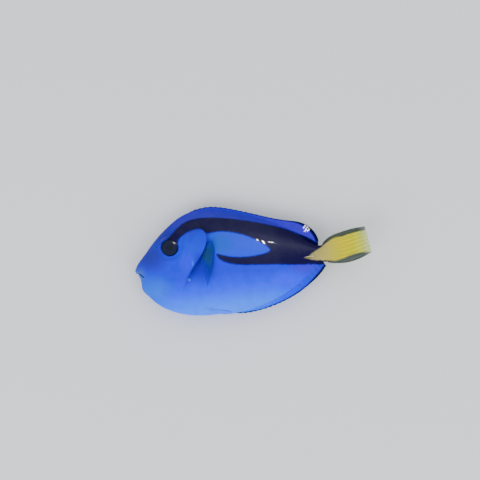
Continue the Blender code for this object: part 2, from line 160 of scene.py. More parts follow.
class Spline:
    """A natural cubic spline through knots, as a function of their first coordinate."""

    def __init__(self, knots: Sequence[Point]) -> None:
        """Solves for the bend at each knot.

        Args:
            knots: Points with rising first coordinates.
        """
        self.x, self.y = np.array(knots, float).T
        self.steps = np.diff(self.x)
        slopes = np.diff(self.y) / self.steps
        matrix, right = np.eye(len(self.x)), np.zeros(len(self.x))
        for i in range(1, len(self.x) - 1):
            low, high = self.steps[i - 1], self.steps[i]
            matrix[i, i - 1 : i + 2] = low, 2 * (low + high), high
            right[i] = 6 * (slopes[i] - slopes[i - 1])
        self.bend = np.linalg.solve(matrix, right)

    def __call__(self, value: Any) -> Array:
        """Evaluates the curve.

        Args:
            value: One first coordinate or many.

        Returns:
            The second coordinate at each.
        """
        value = np.asarray(value, float)
        i = np.clip(np.searchsorted(self.x, value) - 1, 0, len(self.steps) - 1)
        step, low, high = self.steps[i], value - self.x[i], self.x[i + 1] - value
        cubic = (self.bend[i] * high**3 + self.bend[i + 1] * low**3) / (6 * step)
        first = (self.y[i] / step - self.bend[i] * step / 6) * high
        return cubic + first + (self.y[i + 1] / step - self.bend[i + 1] * step / 6) * low


class PlaneCurve:
    """A smooth curve through points of the plane of s and t."""

    def __init__(self, points: Sequence[Point]) -> None:
        """Fits one spline to each coordinate over the length along the points.

        Args:
            points: What the curve passes through, in order.
        """
        lengths = [math.dist(a, b) for a, b in zip(points, points[1:])]
        shares = np.concatenate([[0.0], np.cumsum(lengths)]) / sum(lengths)
        self.s = Spline([(share, p[0]) for share, p in zip(shares, points)])
        self.t = Spline([(share, p[1]) for share, p in zip(shares, points)])

    def __call__(self, share: Any) -> tuple[Array, Array]:
        """The point a share of the way along, from 0 to 1."""
        return self.s(share), self.t(share)

    def sampled(self, count: int) -> Array:
        """The curve as a row of points."""
        return np.stack(self(np.linspace(0, 1, count)), axis=1)


def distance_to_line(s: Array, t: Array, line: Array) -> tuple[Array, Array]:
    """How far points lie from a line, positive on its left as seen along it.

    Args:
        s: The points' distances from the snout.
        t: The points' heights.
        line: The line's own points, in order.

    Returns:
        The signed distance of each point, and the share of the line at which it is nearest.
    """
    best = np.full(s.shape, np.inf)
    signed, share = np.zeros(s.shape), np.zeros(s.shape)
    for i, (a, b) in enumerate(zip(line[:-1], line[1:])):
        way = b - a
        along = np.clip(((s - a[0]) * way[0] + (t - a[1]) * way[1]) / way.dot(way), 0, 1)
        ds, dt = s - a[0] - along * way[0], t - a[1] - along * way[1]
        gap = np.hypot(ds, dt)
        nearer = gap < best
        best = np.where(nearer, gap, best)
        turn = np.sign(way[0] * (t - a[1]) - way[1] * (s - a[0]))
        signed = np.where(nearer, gap * turn, signed)
        share = np.where(nearer, (i + along) / (len(line) - 1), share)
    return signed, share


def depth_inside(s: Array, t: Array, outline: Array) -> Array:
    """How deep points lie inside a closed outline, negative outside it.

    Args:
        s: The points' distances from the snout.
        t: The points' heights.
        outline: The outline's own points, in order and not closed.

    Returns:
        The signed distance of each point to the outline.
    """
    closed = np.vstack([outline, outline[:1]])
    gap = np.abs(distance_to_line(s, t, closed)[0])
    inside = np.zeros(s.shape, bool)
    for (s1, t1), (s2, t2) in zip(closed[:-1], closed[1:]):
        if t1 == t2:
            continue
        crosses = ((t1 > t) != (t2 > t)) & (s < (s2 - s1) * (t - t1) / (t2 - t1) + s1)
        inside ^= crosses
    return np.where(inside, gap, -gap)


def round_outline(corners: Sequence[Point], steps: int = 8) -> Array:
    """A closed smooth outline through corner points.

    Args:
        corners: The points it passes through, in order.
        steps: How many points it gets from one corner to the next.

    Returns:
        The outline's points.
    """
    p = np.array(corners, float)
    before, after, later = np.roll(p, 1, 0), np.roll(p, -1, 0), np.roll(p, -2, 0)
    rows = []
    for share in np.arange(steps) / steps:
        cubic = -before + 3 * p - 3 * after + later
        square = 2 * before - 5 * p + 4 * after - later
        rows.append((2 * p + (after - before) * share + square * share**2 + cubic * share**3) / 2)
    return np.stack(rows, axis=1).reshape(-1, 2)


@dataclass(frozen=True)
class FishForm:
    """The body's outline, thickness and pose, which every piece is placed by.

    Each station is a distance from the snout, the back, the belly and half the width there. A fullness
    of 0.5 gives sections that are ellipses. The tail bends up from the start of the bend to its lift at
    its tip, and the origin is the place in s and t of the scene's own origin.
    """

    stations: tuple[tuple[float, float, float, float], ...] = (
        (0.0, 0.5, -0.9, 0.7),
        (0.9, 2.9, -4.2, 2.0),
        (2.2, 5.0, -6.8, 2.8),
        (4.2, 7.6, -9.5, 3.5),
        (7.2, 11.2, -12.7, 4.25),
        (11.0, 14.7, -15.4, 4.95),
        (16.0, 18.3, -17.6, 5.6),
        (22.0, 21.3, -19.0, 6.1),
        (28.0, 22.2, -19.4, 6.42),
        (35.0, 21.0, -19.2, 6.5),
        (45.0, 18.2, -17.4, 6.0),
        (55.0, 14.3, -14.0, 4.9),
        (63.0, 9.8, -9.9, 3.6),
        (69.0, 5.5, -5.6, 2.55),
        (72.6, 3.4, -3.5, 1.95),
        (75.0, 3.3, -3.5, 1.4),
    )
    fullness: float = 0.57
    tail_root: float = 75.0
    total_length: float = 92.4
    mid_height: float = 6.1
    bend_start: float = 52.0
    tail_lift: float = 6.5
    origin: Point = (46.05, 1.7)
    columns: dict[Measure, Spline] = field(default_factory=dict)

    def __post_init__(self) -> None:
        """Fits a spline to each measure. Working in the root of s rounds the snout."""
        for measure in Measure:
            knots = [(math.sqrt(row[0]), row[measure.value]) for row in self.stations]
            self.columns[measure] = Spline(knots)

    def profile(self, measure: Measure, s: Any) -> Array:
        """One measure of the body at distances from the snout."""
        return self.columns[measure](np.sqrt(np.clip(s, 0.0, self.tail_root)))

    def flank(self, s: Any, t: Any) -> Array:
        """Half the body's thickness at points of its side.

        Args:
            s: Distances from the snout.
            t: Heights.

        Returns:
            Half the thickness at each point, 0 outside the outline.
        """
        back, belly = self.profile(Measure.BACK, s), self.profile(Measure.BELLY, s)
        level = (t - (back + belly) / 2) / ((back - belly) / 2)
        half = self.profile(Measure.HALF_WIDTH, s)
        return half * np.clip(1 - level * level, 0, None) ** self.fullness

    def stand_off(self, s: Any, t: Any, distance: float) -> Array:
        """How far from the middle plane points lie that keep this distance from the skin."""
        shifts = distance * np.sin(np.radians(np.arange(-90, 91, 15)))
        return np.max([self.flank(s, t + d) + math.sqrt(distance**2 - d**2 + 1e-9) for d in shifts], axis=0)

    def normal(self, s: float, t: float, side: Side) -> Vector:
        """The way out of the skin at a point of its side.

        Args:
            s: The point's distance from the snout.
            t: Its height.
            side: The side of the fish that it is on.

        Returns:
            A vector of length 1.
        """
        step = 0.4
        along = float(self.flank(s + step, t) - self.flank(s - step, t)) / (2 * step)
        up = float(self.flank(s, t + step) - self.flank(s, t - step)) / (2 * step)
        return Vector((-along, -up, side.value)).normalized()

    def place(self, s: Any, t: Any, n: Any) -> Array:
        """Turns points of the fish's frame into points of the scene, with the bend of the tail.

        Args:
            s: Distances from the snout.
            t: Heights towards the back.
            n: Distances from the middle plane, positive on the left side.

        Returns:
            One row of metres for each point.
        """
        s, t, n = np.broadcast_arrays(*(np.asarray(v, float) for v in (s, t, n)))
        share = np.clip((s - self.bend_start) / (self.total_length - self.bend_start), 0, None)
        z = n + self.tail_lift * share**2 + self.mid_height
        return np.stack([s - self.origin[0], t - self.origin[1], z], axis=-1) * MM


@dataclass(frozen=True)
class Landmarks:
    """Where the features of the head and body lie, in s and t.

    The gaze is how far the line of sight leans along s and along t. A nostril is a place and a radius.
    The pectoral fin has the roots and the bows of its first and last ray, and the tips from first to last.
    """

    gill_line: tuple[Point, ...] = (
        (22.6, 26.0), (23.6, 20.5), (26.9, 15.4), (29.1, 10.2), (27.4, 4.6), (22.4, -2.0),
        (18.7, -8.0), (16.4, -13.0), (15.0, -22.0),
    )
    cheek_line: tuple[Point, ...] = (
        (25.0, 16.6), (22.3, 11.6), (20.7, 6.0), (18.3, 0.2), (16.4, -5.2), (15.6, -10.8),
    )
    eye: Point = (14.3, 8.0)
    eye_radius: float = 3.1
    eye_depth: float = 1.1
    eye_sink: float = 0.42
    cornea_radius: float = 8.7
    gaze: Point = (-0.04, -0.02)
    nostrils: tuple[tuple[float, float, float], ...] = ((9.3, 9.2, 0.42), (10.5, 10.1, 0.32))
    mouth_front: Point = (0.0, -0.95)
    mouth_corner: Point = (2.9, -2.75)
    bead: Point = (20.6, -5.7)
    spine_tip: Point = (66.7, -1.2)
    spine_length: float = 3.4
    pectoral_root: tuple[Point, Point] = ((30.8, 8.7), (28.7, 6.7))
    pectoral_bow: tuple[Point, Point] = ((33.5, 3.6), (27.2, 4.0))
    pectoral_tip: tuple[Point, ...] = ((27.3, -9.6), (27.0, -5.4), (26.5, -2.8), (25.6, -0.4))


@dataclass(frozen=True)
class Markings:
    """The outlines of the black figure, the blue oval in its hook and the yellow tail wedge."""

    black: tuple[Point, ...] = (
        (12.6, 9.6), (14.2, 12.2), (16.6, 14.9), (19.4, 17.4), (22.8, 18.9), (27.0, 19.3),
        (33.0, 18.9), (40.0, 17.7), (47.0, 16.1), (54.6, 13.9), (60.5, 11.9), (64.2, 9.9),
        (67.7, 7.9), (70.1, 6.3), (72.5, 4.6), (75.0, 5.2), (78.0, 7.6), (78.0, -6.4), (73.8, -4.6),
        (68.0, -4.2), (60.7, -3.8), (54.2, -3.2), (49.0, -2.9), (43.9, -2.5), (39.4, -1.9),
        (36.2, -1.0), (33.9, 0.3), (32.5, 1.8), (32.3, 3.1), (33.5, 2.8), (35.3, 2.1), (37.8, 1.4),
        (41.6, 0.9), (45.5, 0.9), (49.5, 1.3), (52.2, 2.0), (53.2, 3.1), (51.5, 4.9), (48.7, 7.0),
        (45.7, 8.9), (42.5, 10.4), (38.8, 11.6), (35.0, 12.3), (31.7, 12.2), (29.4, 12.3),
        (28.2, 13.2), (27.0, 13.9), (25.4, 14.2), (23.4, 13.9), (21.3, 13.2), (19.6, 12.3),
        (18.1, 10.8), (17.0, 8.4), (14.6, 7.9),
    )
    oval: tuple[Point, ...] = (
        (30.6, 6.8), (30.0, 9.4), (30.2, 11.4), (33.6, 12.3), (37.0, 12.1), (41.0, 11.0),
        (45.5, 9.0), (49.5, 6.5), (53.0, 3.2), (51.6, 1.8), (48.0, 1.1), (43.0, 0.9), (38.5, 1.3),
        (35.0, 2.2), (32.4, 3.2),
    )
    wedge: tuple[Point, ...] = (
        (66.3, -1.5), (68.2, -0.8), (71.1, 0.9), (73.6, 2.3), (75.8, 3.8), (78.8, 5.3), (82.2, 5.5),
        (85.6, 6.0), (90.1, 6.4), (96.0, 6.6), (96.0, -1.9), (88.2, -2.1), (85.0, -2.3),
        (82.8, -2.9), (80.7, -3.5), (77.9, -3.7), (73.3, -2.9), (69.9, -2.6),
    )

    def black_depth(self, s: Array, t: Array) -> Array:
        """How deep points lie in the black figure."""
        return depth_inside(s, t, round_outline(self.black, 5))

    def oval_depth(self, s: Array, t: Array) -> Array:
        """How deep points lie in the blue oval."""
        return depth_inside(s, t, round_outline(self.oval))

    def wedge_depth(self, s: Array, t: Array) -> Array:
        """How deep points lie in the yellow wedge."""
        return depth_inside(s, t, round_outline(self.wedge, 4))


@dataclass(frozen=True)
class Patch:
    """A soft oval of another colour on the body."""

    centre: Point
    radii: Point
    colour: str
    strength: float = 1.0


# The yellow of the tail by distance from the snout: dull on the stalk, pure on the fin, pale at its tips.
TAIL_YELLOWS = (
    (66.0, "7D744A"), (70.0, "938A54"), (75.0, "A99A4A"), (79.0, "B6A928"), (82.5, "BEB000"),
    (86.0, "B8B206"), (89.0, "BCBE40"), (92.0, "BCCA78"),
)


def set_stops(ramp: Any, shades: Sequence[tuple[float, str]]) -> None:
    """Gives a colour ramp its stops.

    Args:
        ramp: The ramp's node.
        shades: Places from 0 to 1 and the colour at each.
    """
    stops = ramp.color_ramp.elements
    for i, (at, code) in enumerate(shades):
        stop = stops[i] if i < 2 else stops.new(at)
        stop.position, stop.color = at, linear(code)


def shades_along(
    tree: Any, place: Any, form: FishForm, axis: Axis, shades: Sequence[tuple[float, str]]
) -> Any:
    """A colour that changes along the fish's length or up its height.

    Args:
        tree: The node tree.
        place: The socket of Object coordinates.
        form: The fish's form, whose origin turns scene places into s and t.
        axis: The way that it changes.
        shades: Places in millimetres and the colour at each.

    Returns:
        The colour's socket.
    """
    along = add_node(tree, "SeparateXYZ", {0: place}).outputs[axis.value]
    low, high = shades[0][0], shades[-1][0]
    zero = form.origin[axis.value]
    span = {"Value": along, "From Min": (low - zero) * MM, "From Max": (high - zero) * MM}
    share = add_node(tree, "MapRange", span).outputs["Result"]
    ramp = add_node(tree, "ValToRGB", {"Fac": share})
    set_stops(ramp, [((spot - low) / (high - low), code) for spot, code in shades])
    return ramp.outputs["Color"]


def dappled(tree: Any, colour: Any, noise: Any, spread: float) -> Any:
    """Lets a noise lighten and darken a colour.

    Args:
        tree: The node tree.
        colour: The colour's socket.
        noise: The socket of a noise from 0 to 1.
        spread: How far the brightness goes up and down from 1.

    Returns:
        The socket of the varied colour.
    """
    tone = {"Value": noise, "To Min": 1 - spread, "To Max": 1 + spread}
    bright = add_node(tree, "MapRange", tone).outputs["Result"]
    shade = add_node(tree, "CombineXYZ", {0: bright, 1: bright, 2: bright}).outputs[0]
    mixed = {"Factor": 1.0, "A": colour, "B": shade}
    return add_node(tree, "Mix", mixed, data_type="RGBA", blend_type="MULTIPLY").outputs["Result"]


def marking_mix(tree: Any, base: Any, attribute: str, colour: Any, soft: float, wander: Any) -> Any:
    """Lays a marking over a colour, where an attribute says how deep inside it each point is.

    Args:
        tree: The node tree.
        base: The colour underneath.
        attribute: The attribute's name, in millimetres.
        colour: The marking's colour, or a socket that gives it.
        soft: Half the width of the marking's edge, in millimetres.
        wander: A socket that shifts the edge, in millimetres.

    Returns:
        The socket of the mixed colour.
    """
    depth = add_node(tree, "Attribute", attribute_name=attribute).outputs["Fac"]
    shifted = add_node(tree, "Math", {0: depth, 1: wander}, operation="ADD").outputs[0]
    edge = {"Value": shifted, "From Min": -soft, "From Max": soft}
    share = add_node(tree, "MapRange", edge, interpolation_type="SMOOTHSTEP").outputs["Result"]
    mixed = add_node(tree, "Mix", {"Factor": share, "A": base, "B": colour}, data_type="RGBA")
    return mixed.outputs["Result"]


@dataclass(frozen=True)
class WetSkin:
    """Living fish skin: mucus over tiny scales over pigment cells.

    The pigment gives deep colours that run into each other, the scales a faint grain, and the mucus
    a thin sharp gloss that is seen where a lamp is mirrored in it.
    """

    name: str = "wet fish skin"
    belly_to_back: tuple[tuple[float, str], ...] = (
        (-19.0, "2C70FF"), (-16.5, "106AFF"), (-14.0, "0656FF"), (-11.0, "0332FF"),
        (-8.0, "0324F0"), (-5.0, "0319DE"), (0.0, "0316DC"), (5.0, "0324E6"), (11.0, "0321D2"),
        (15.5, "141CB0"), (18.0, "261EA6"), (21.0, "2820AE"),
    )
    patches: tuple[Patch, ...] = (
        Patch((6.5, 5.5), (10.5, 9.0), "24268C", 0.9),  # dusky snout
        Patch((12.5, 13.5), (7.5, 6.5), "201E8E", 0.85),  # forehead
        Patch((1.0, -1.4), (4.0, 5.0), "3A5EA4", 0.9),  # greyish lips
        Patch((5.5, -8.5), (12.0, 8.5), "0360D6", 0.8),  # pale chin and throat
        Patch((26.5, -1.5), (7.5, 9.0), "0507B0", 0.85),  # painted shade in the hollow behind the gill cover
        Patch((66.5, -5.0), (10.0, 4.5), "3022C6", 0.85),  # violet under the tail stalk
        Patch((59.0, -9.5), (10.0, 5.5), "0A1CFF", 0.7),  # rear flank
        Patch((58.0, 14.5), (20.0, 5.5), "2E1CA8", 0.95),  # violet along the dorsal fin
        Patch((21.0, 1.0), (5.0, 6.0), "0312FF", 0.6),  # bright edge of the gill cover
        Patch((20.6, -5.7), (0.8, 0.8), "4480FF", 1.0),  # painted glint on the bead of mucus
        Patch((22.6, 0.4), (0.65, 1.9), "1C58FF", 0.85),  # painted highlight streak over the bead
    )
    black: str = "0F0836"
    oval: str = "0038E2"
    oval_front: Patch = Patch((32.0, 7.0), (12.0, 7.0), "004CC2", 0.95)
    # The colour of the shade painted into the mouth slit, the nostrils, the spine groove and the hollow
    # behind the gill cover.
    crease_shade: str = "04047C"
    roughness: float = 0.4
    grain: float = 0.4
    film: float = 0.4
    blotches_per_m: float = 260.0  # blotches of about 4 mm
    blotch_spread: float = 0.16
    wavers_per_m: float = 900.0  # the edges of the markings waver every 1.1 mm
    waver_mm: float = 0.28
    pools_per_m: float = 380.0  # the mucus pools every 2.6 mm
    oval_edge: float = 1.1
    black_edge: float = 0.45
    wedge_edge: float = 0.35

    def material(self, form: FishForm) -> Any:
        """Builds the skin's material.

        Args:
            form: The fish's form, whose origin turns scene places into s and t.

        Returns:
            The material.
        """
        made, tree, shader = new_material(self.name)
        place = add_node(tree, "TexCoord").outputs["Object"]
        colour = shades_along(tree, place, form, Axis.HEIGHT, self.belly_to_back)
        for patch in self.patches:
            colour = self._patched(tree, colour, place, patch, form)
        mottle = {"Vector": place, "Scale": self.blotches_per_m, "Detail": 5.0}
        blotches = add_node(tree, "TexNoise", mottle).outputs["Fac"]
        colour = dappled(tree, colour, blotches, self.blotch_spread)
        fine = {"Vector": place, "Scale": self.wavers_per_m, "Detail": 3.0}
        waver = add_node(tree, "TexNoise", fine).outputs["Fac"]
        drift = {"Value": waver, "To Min": -self.waver_mm, "To Max": self.waver_mm}
        wander = add_node(tree, "MapRange", drift).outputs["Result"]
        oval = self._patched(tree, linear(self.oval), place, self.oval_front, form)
        yellow = shades_along(tree, place, form, Axis.LENGTH, TAIL_YELLOWS)
        markings = (
            ("oval", oval, self.oval_edge),
            ("black", linear(self.black), self.black_edge),
            ("wedge", yellow, self.wedge_edge),
        )
        for name, shade, soft in markings:
            colour = marking_mix(tree, colour, name, shade, soft, wander)
        # Painted shade darkens the mouth slit, the nostrils, the spine groove and the hollow behind the
        # gill cover.
        pit_and_shade = add_node(tree, "Attribute", attribute_name="crease_shade").outputs["Fac"]
        deep = {"Factor": pit_and_shade, "A": colour, "B": linear(self.crease_shade)}
        colour = add_node(tree, "Mix", deep, data_type="RGBA").outputs["Result"]
        tree.links.new(colour, shader.inputs["Base Color"])
        tree.links.new(scale_bump(tree, place, self.grain), shader.inputs["Normal"])
        tree.links.new(self._film(tree, place), shader.inputs["Coat Weight"])
        # The pigment is soft and hardly shines, and the mucus over it is as clear and sharp as water.
        set_inputs(shader, {"Roughness": self.roughness, "IOR": 1.35, "Specular IOR Level": 0.08})
        set_inputs(shader, {"Coat Roughness": 0.02, "Coat IOR": 1.34})
        return made

    def _film(self, tree: Any, place: Any) -> Any:
        """Lays the mucus in pools, where the wet attribute lets it.

        Args:
            tree: The node tree.
            place: The socket of Object coordinates.

        Returns:
            The socket of the coat's weight.
        """
        patchy = add_node(tree, "TexNoise", {"Vector": place, "Scale": self.pools_per_m, "Detail": 2.0})
        spread = {"Value": patchy.outputs["Fac"], "From Min": 0.35, "From Max": 0.6, "To Min": 0.2}
        pools = add_node(tree, "MapRange", {**spread, "To Max": self.film}).outputs["Result"]
        wet = add_node(tree, "Attribute", attribute_name="wet").outputs["Fac"]
        return add_node(tree, "Math", {0: pools, 1: wet}, operation="MULTIPLY").outputs[0]

    def _patched(self, tree: Any, colour: Any, place: Any, patch: Patch, form: FishForm) -> Any:
        """Mixes one soft oval into a colour.

        Args:
            tree: The node tree.
            colour: The colour, or its socket.
            place: The socket of Object coordinates.
            patch: The oval.
            form: The fish's form, whose origin turns s and t into scene places.

        Returns:
            The new colour's socket.
        """
        centre = [(patch.centre[i] - form.origin[i]) * MM for i in (0, 1)]
        radii = [radius * MM for radius in patch.radii]
        squash = {
            "Vector": place,
            "Location": (-centre[0] / radii[0], -centre[1] / radii[1], 0.0),
            "Scale": (1 / radii[0], 1 / radii[1], 0.0),
        }
        local = add_node(tree, "Mapping", squash).outputs["Vector"]
        reach = add_node(tree, "VectorMath", {0: local}, operation="LENGTH").outputs["Value"]
        fade = {"Value": reach, "From Min": 1.0, "From Max": 0.15, "To Max": patch.strength}
        share = add_node(tree, "MapRange", fade, interpolation_type="SMOOTHSTEP").outputs["Result"]
        mixed = {"Factor": share, "A": colour, "B": linear(patch.colour)}
        return add_node(tree, "Mix", mixed, data_type="RGBA").outputs["Result"]


def scale_bump(tree: Any, place: Any, strength: float) -> Any:
    """Bump from overlapping scales and the uneven film of mucus over them.

    The real scales are about 0.4 mm. They are drawn at about 0.9 mm, because finer ones vanish at
    the picture's size. The film's ripples are about 3 mm long.

    Args:
        tree: The node tree.
        place: The socket of Object coordinates.
        strength: How strong the bump is, from 0 to 1.

    Returns:
        The socket of the bumped normal.
    """
    cells = add_node(tree, "TexVoronoi", {"Vector": place, "Scale": 1100.0}, feature="F1")
    film = add_node(tree, "TexNoise", {"Vector": place, "Scale": 330.0, "Detail": 3.0})
    height = {0: cells.outputs["Distance"], 1: -0.25, 2: film.outputs["Fac"]}
    relief = add_node(tree, "Math", height, operation="MULTIPLY_ADD").outputs[0]
    bump = {"Height": relief, "Strength": strength, "Distance": 0.00022}
    return add_node(tree, "Bump", bump).outputs["Normal"]


@dataclass(frozen=True)
class FinSkin:
    """A wet fin: clear skin between horny rays, with pigment along the rays and a dark edge.

    It looks duller and more even than the body, with faint stripes, and its tips can be half clear.
    The base is the colour at its root and far the colour at its rear. Shades along the fish's length
    take the place of the web's one colour.
    """

    name: str
    ray: str
    web: str = ""
    shades: tuple[tuple[float, str], ...] = ()
    base: str = ""
    far: str = ""
    black: str = "060530"
    ray_share: float = 1.0
    edge_soft: float = 0.4
    wedge_edge: float = 0.45
    tip_alpha: float = 1.0
    border_alpha: float = 1.0
    roughness: float = 0.34
    film: float = 0.0
    grain: float = 0.3
    clouds_per_m: float = 420.0  # clouds of pigment of about 2.4 mm
    cloud_spread: float = 0.2
    waver_mm: float = 0.3

    def material(self, form: FishForm) -> Any:
        """Builds the fin's material from the piece's own attributes.

        Args:
            form: The fish's form, whose origin places the shades along the fish's length.

        Returns:
            The material.
        """
        made, tree, shader = new_material(self.name)
        place = add_node(tree, "TexCoord").outputs["Object"]
        web = linear(self.web) if self.web else shades_along(tree, place, form, Axis.LENGTH, self.shades)
        ridge = add_node(tree, "Attribute", attribute_name="ray").outputs["Fac"]
        share = add_node(tree, "MapRange", {"Value": ridge, "To Max": self.ray_share}).outputs["Result"]
        rays = {"Factor": share, "A": web, "B": linear(self.ray)}
        colour = add_node(tree, "Mix", rays, data_type="RGBA").outputs["Result"]
        for name, code in (("far", self.far), ("root", self.base)):
            if not code:
                continue
            share = add_node(tree, "Attribute", attribute_name=name).outputs["Fac"]
            toned = {"Factor": share, "A": colour, "B": linear(code)}
            colour = add_node(tree, "Mix", toned, data_type="RGBA").outputs["Result"]
        noise = {"Vector": place, "Scale": self.clouds_per_m, "Detail": 4.0}
        clouds = add_node(tree, "TexNoise", noise).outputs["Fac"]
        colour = dappled(tree, colour, clouds, self.cloud_spread)
        drift = {"Value": clouds, "To Min": -self.waver_mm, "To Max": self.waver_mm}
        wander = add_node(tree, "MapRange", drift).outputs["Result"]
        yellow = shades_along(tree, place, form, Axis.LENGTH, TAIL_YELLOWS)
        colour = marking_mix(tree, colour, "black", linear(self.black), self.edge_soft, wander)
        colour = marking_mix(tree, colour, "wedge", yellow, self.wedge_edge, wander)
        tree.links.new(colour, shader.inputs["Base Color"])
        tree.links.new(scale_bump(tree, place, self.grain), shader.inputs["Normal"])
        set_inputs(shader, {"Roughness": self.roughness, "IOR": 1.35})
        if self.film:
            # A film of water lies where the wet attribute says, and the rest of the fin doesn't shine.
            wet = add_node(tree, "Attribute", attribute_name="wet").outputs["Fac"]
            weight = add_node(tree, "MapRange", {"Value": wet, "To Max": self.film})
            tree.links.new(weight.outputs["Result"], shader.inputs["Coat Weight"])
            set_inputs(shader, {"Specular IOR Level": 0.0, "Coat Roughness": 0.05})
        else:
            # The whole fin is damp, with a faint satin gloss.
            set_inputs(shader, {"Specular IOR Level": 0.08, "Coat Weight": 0.03, "Coat Roughness": 0.14})
        if min(self.tip_alpha, self.border_alpha) < 1:
            tree.links.new(self._clearness(tree), shader.inputs["Alpha"])
        return made

    def _clearness(self, tree: Any) -> Any:
        """Lets the fin clear towards the tips of its rays and its border.

        Args:
            tree: The node tree.

        Returns:
            The socket of the alpha.
        """
        alphas = []
        for name, least in (("tip", self.tip_alpha), ("border", self.border_alpha)):
            share = add_node(tree, "Attribute", attribute_name=name).outputs["Fac"]
            fade = {"Value": share, "To Min": 1.0, "To Max": least}
            alphas.append(add_node(tree, "MapRange", fade).outputs["Result"])
        return add_node(tree, "Math", dict(enumerate(alphas)), operation="MULTIPLY").outputs[0]


@dataclass(frozen=True)
class DarkEye:
    """A fish's eye: a wide black pupil in a dark blue iris under a clear wet cornea.

    It looks nearly black and even, with one sharp point of light on the cornea.
    """

    name: str = "dark fish eye"
    pupil: str = "020821"
    iris: str = "030D2A"
    ring: str = "05112F"
    pupil_radius: float = 1.5
    reach: float = 3.2

    def material(self) -> Any:
        """Builds the eye's material. Its axis attribute is the distance from the line of sight.

        Returns:
            The material.
        """
        made, tree, shader = new_material(self.name)
        axis = add_node(tree, "Attribute", attribute_name="axis").outputs["Fac"]
        share = add_node(tree, "MapRange", {"Value": axis, "From Max": self.reach}).outputs["Result"]
        ramp = add_node(tree, "ValToRGB", {"Fac": share})
        # The pupil ends softly in a paler ring, and the iris darkens again at its rim.
        edge = self.pupil_radius / self.reach
        shades = (
            (edge - 0.03, self.pupil),
            (edge + 0.02, self.ring),
            (edge + 0.09, self.iris),
            (0.86, self.iris),
            (1.0, self.pupil),
        )
        set_stops(ramp, shades)
        tree.links.new(ramp.outputs["Color"], shader.inputs["Base Color"])
        # The cornea alone shines. What lies under it is soft and takes no light of its own.
        set_inputs(shader, {"Roughness": 0.5, "IOR": 1.36, "Specular IOR Level": 0.0})
        set_inputs(shader, {"Coat Weight": 0.45, "Coat Roughness": 0.02})
        return made


@dataclass(frozen=True)
class HornSpine:
    """The tail spine's horny, ivory enamel, streaked lighter and darker along its length.

    It gives a pale, smooth, lightly streaked blade that stands out against the groove and the shade painted
    into it.
    """

    name: str = "ivory spine enamel"
    light: str = "B5A66A"
    dark: str = "857A45"
    streaks_per_m: tuple[float, float, float] = (500.0, 3500.0, 3500.0)  # 2 mm long, 0.3 mm wide

    def material(self) -> Any:
        """Builds the spine's material, streaked along its length.

        Returns:
            The material.
        """
        made, tree, shader = new_material(self.name)
        place = add_node(tree, "TexCoord").outputs["Object"]
        streak = add_node(tree, "Mapping", {"Vector": place, "Scale": self.streaks_per_m})
        grain = add_node(tree, "TexNoise", {"Vector": streak.outputs["Vector"], "Scale": 1.0})
        mixed = {"Factor": grain.outputs["Fac"], "A": linear(self.light), "B": linear(self.dark)}
        colour = add_node(tree, "Mix", mixed, data_type="RGBA").outputs["Result"]
        tree.links.new(colour, shader.inputs["Base Color"])
        set_inputs(shader, {"Roughness": 0.3, "Coat Weight": 0.4})
        return made


def deselect_all() -> None:
    """Leaves nothing selected, so that an operator acts only on what is added next."""
    for obj in bpy.context.selected_objects:
        obj.select_set(False)


def set_attribute(piece: Any, name: str, values: Array) -> None:
    """Stores one number for each point of a piece's mesh."""
    made = piece.data.attributes.new(name, "FLOAT", "POINT")
    made.data.foreach_set("value", np.ascontiguousarray(values, np.float32))


def read_rows(collection: Any, name: str) -> Array:
    """Reads a vector from each item of a mesh's collection.

    Args:
        collection: The mesh's points or their normals.
        name: What to read of each.

    Returns:
        One row for each item.
    """
    flat = np.empty(len(collection) * 3, np.float32)
    collection.foreach_get(name, flat)
    return flat.reshape(-1, 3).astype(float)


def mesh_points(piece: Any) -> Array:
    """The points of a piece's mesh, one row each."""
    return read_rows(piece.data.vertices, "co")


def point_normals(piece: Any) -> Array:
    """The way out of the surface at each point of a piece's mesh."""
    return read_rows(piece.data.vertex_normals, "vector")


def move_points(piece: Any, points: Array) -> None:
    """Moves every point of a piece's mesh."""
    piece.data.vertices.foreach_set("co", np.ascontiguousarray(points, np.float32).reshape(-1))
    piece.data.update()


def apply_modifiers(piece: Any) -> None:
    """Applies every modifier of a piece, in order.

    Args:
        piece: The object.
    """
    deselect_all()
    bpy.context.view_layer.objects.active = piece
    piece.select_set(True)
    for name in [modifier.name for modifier in piece.modifiers]:
        bpy.ops.object.modifier_apply(modifier=name)


def face_outwards(piece: Any) -> None:
    """Turns every face of a closed piece outwards and shades it smooth.

    Args:
        piece: The object.
    """
    bm = bmesh.new()
    bm.from_mesh(piece.data)
    bmesh.ops.recalc_face_normals(bm, faces=bm.faces)
    bm.to_mesh(piece.data)
    bm.free()
    piece.data.shade_smooth()


def finish_piece(piece: Any, material: Any, nodes: Sequence[str]) -> Any:
    """Dresses a piece and says which solids it stands for.

    Args:
        piece: The finished object.
        material: Its material.
        nodes: The nodes that it replaces.

    Returns:
        The piece.
    """
    piece.data.materials.clear()
    piece.data.materials.append(material)
    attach(piece, "root")
    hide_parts(*nodes)
    LOG.info("%s: %d faces", piece.name, len(piece.data.polygons))
    return piece


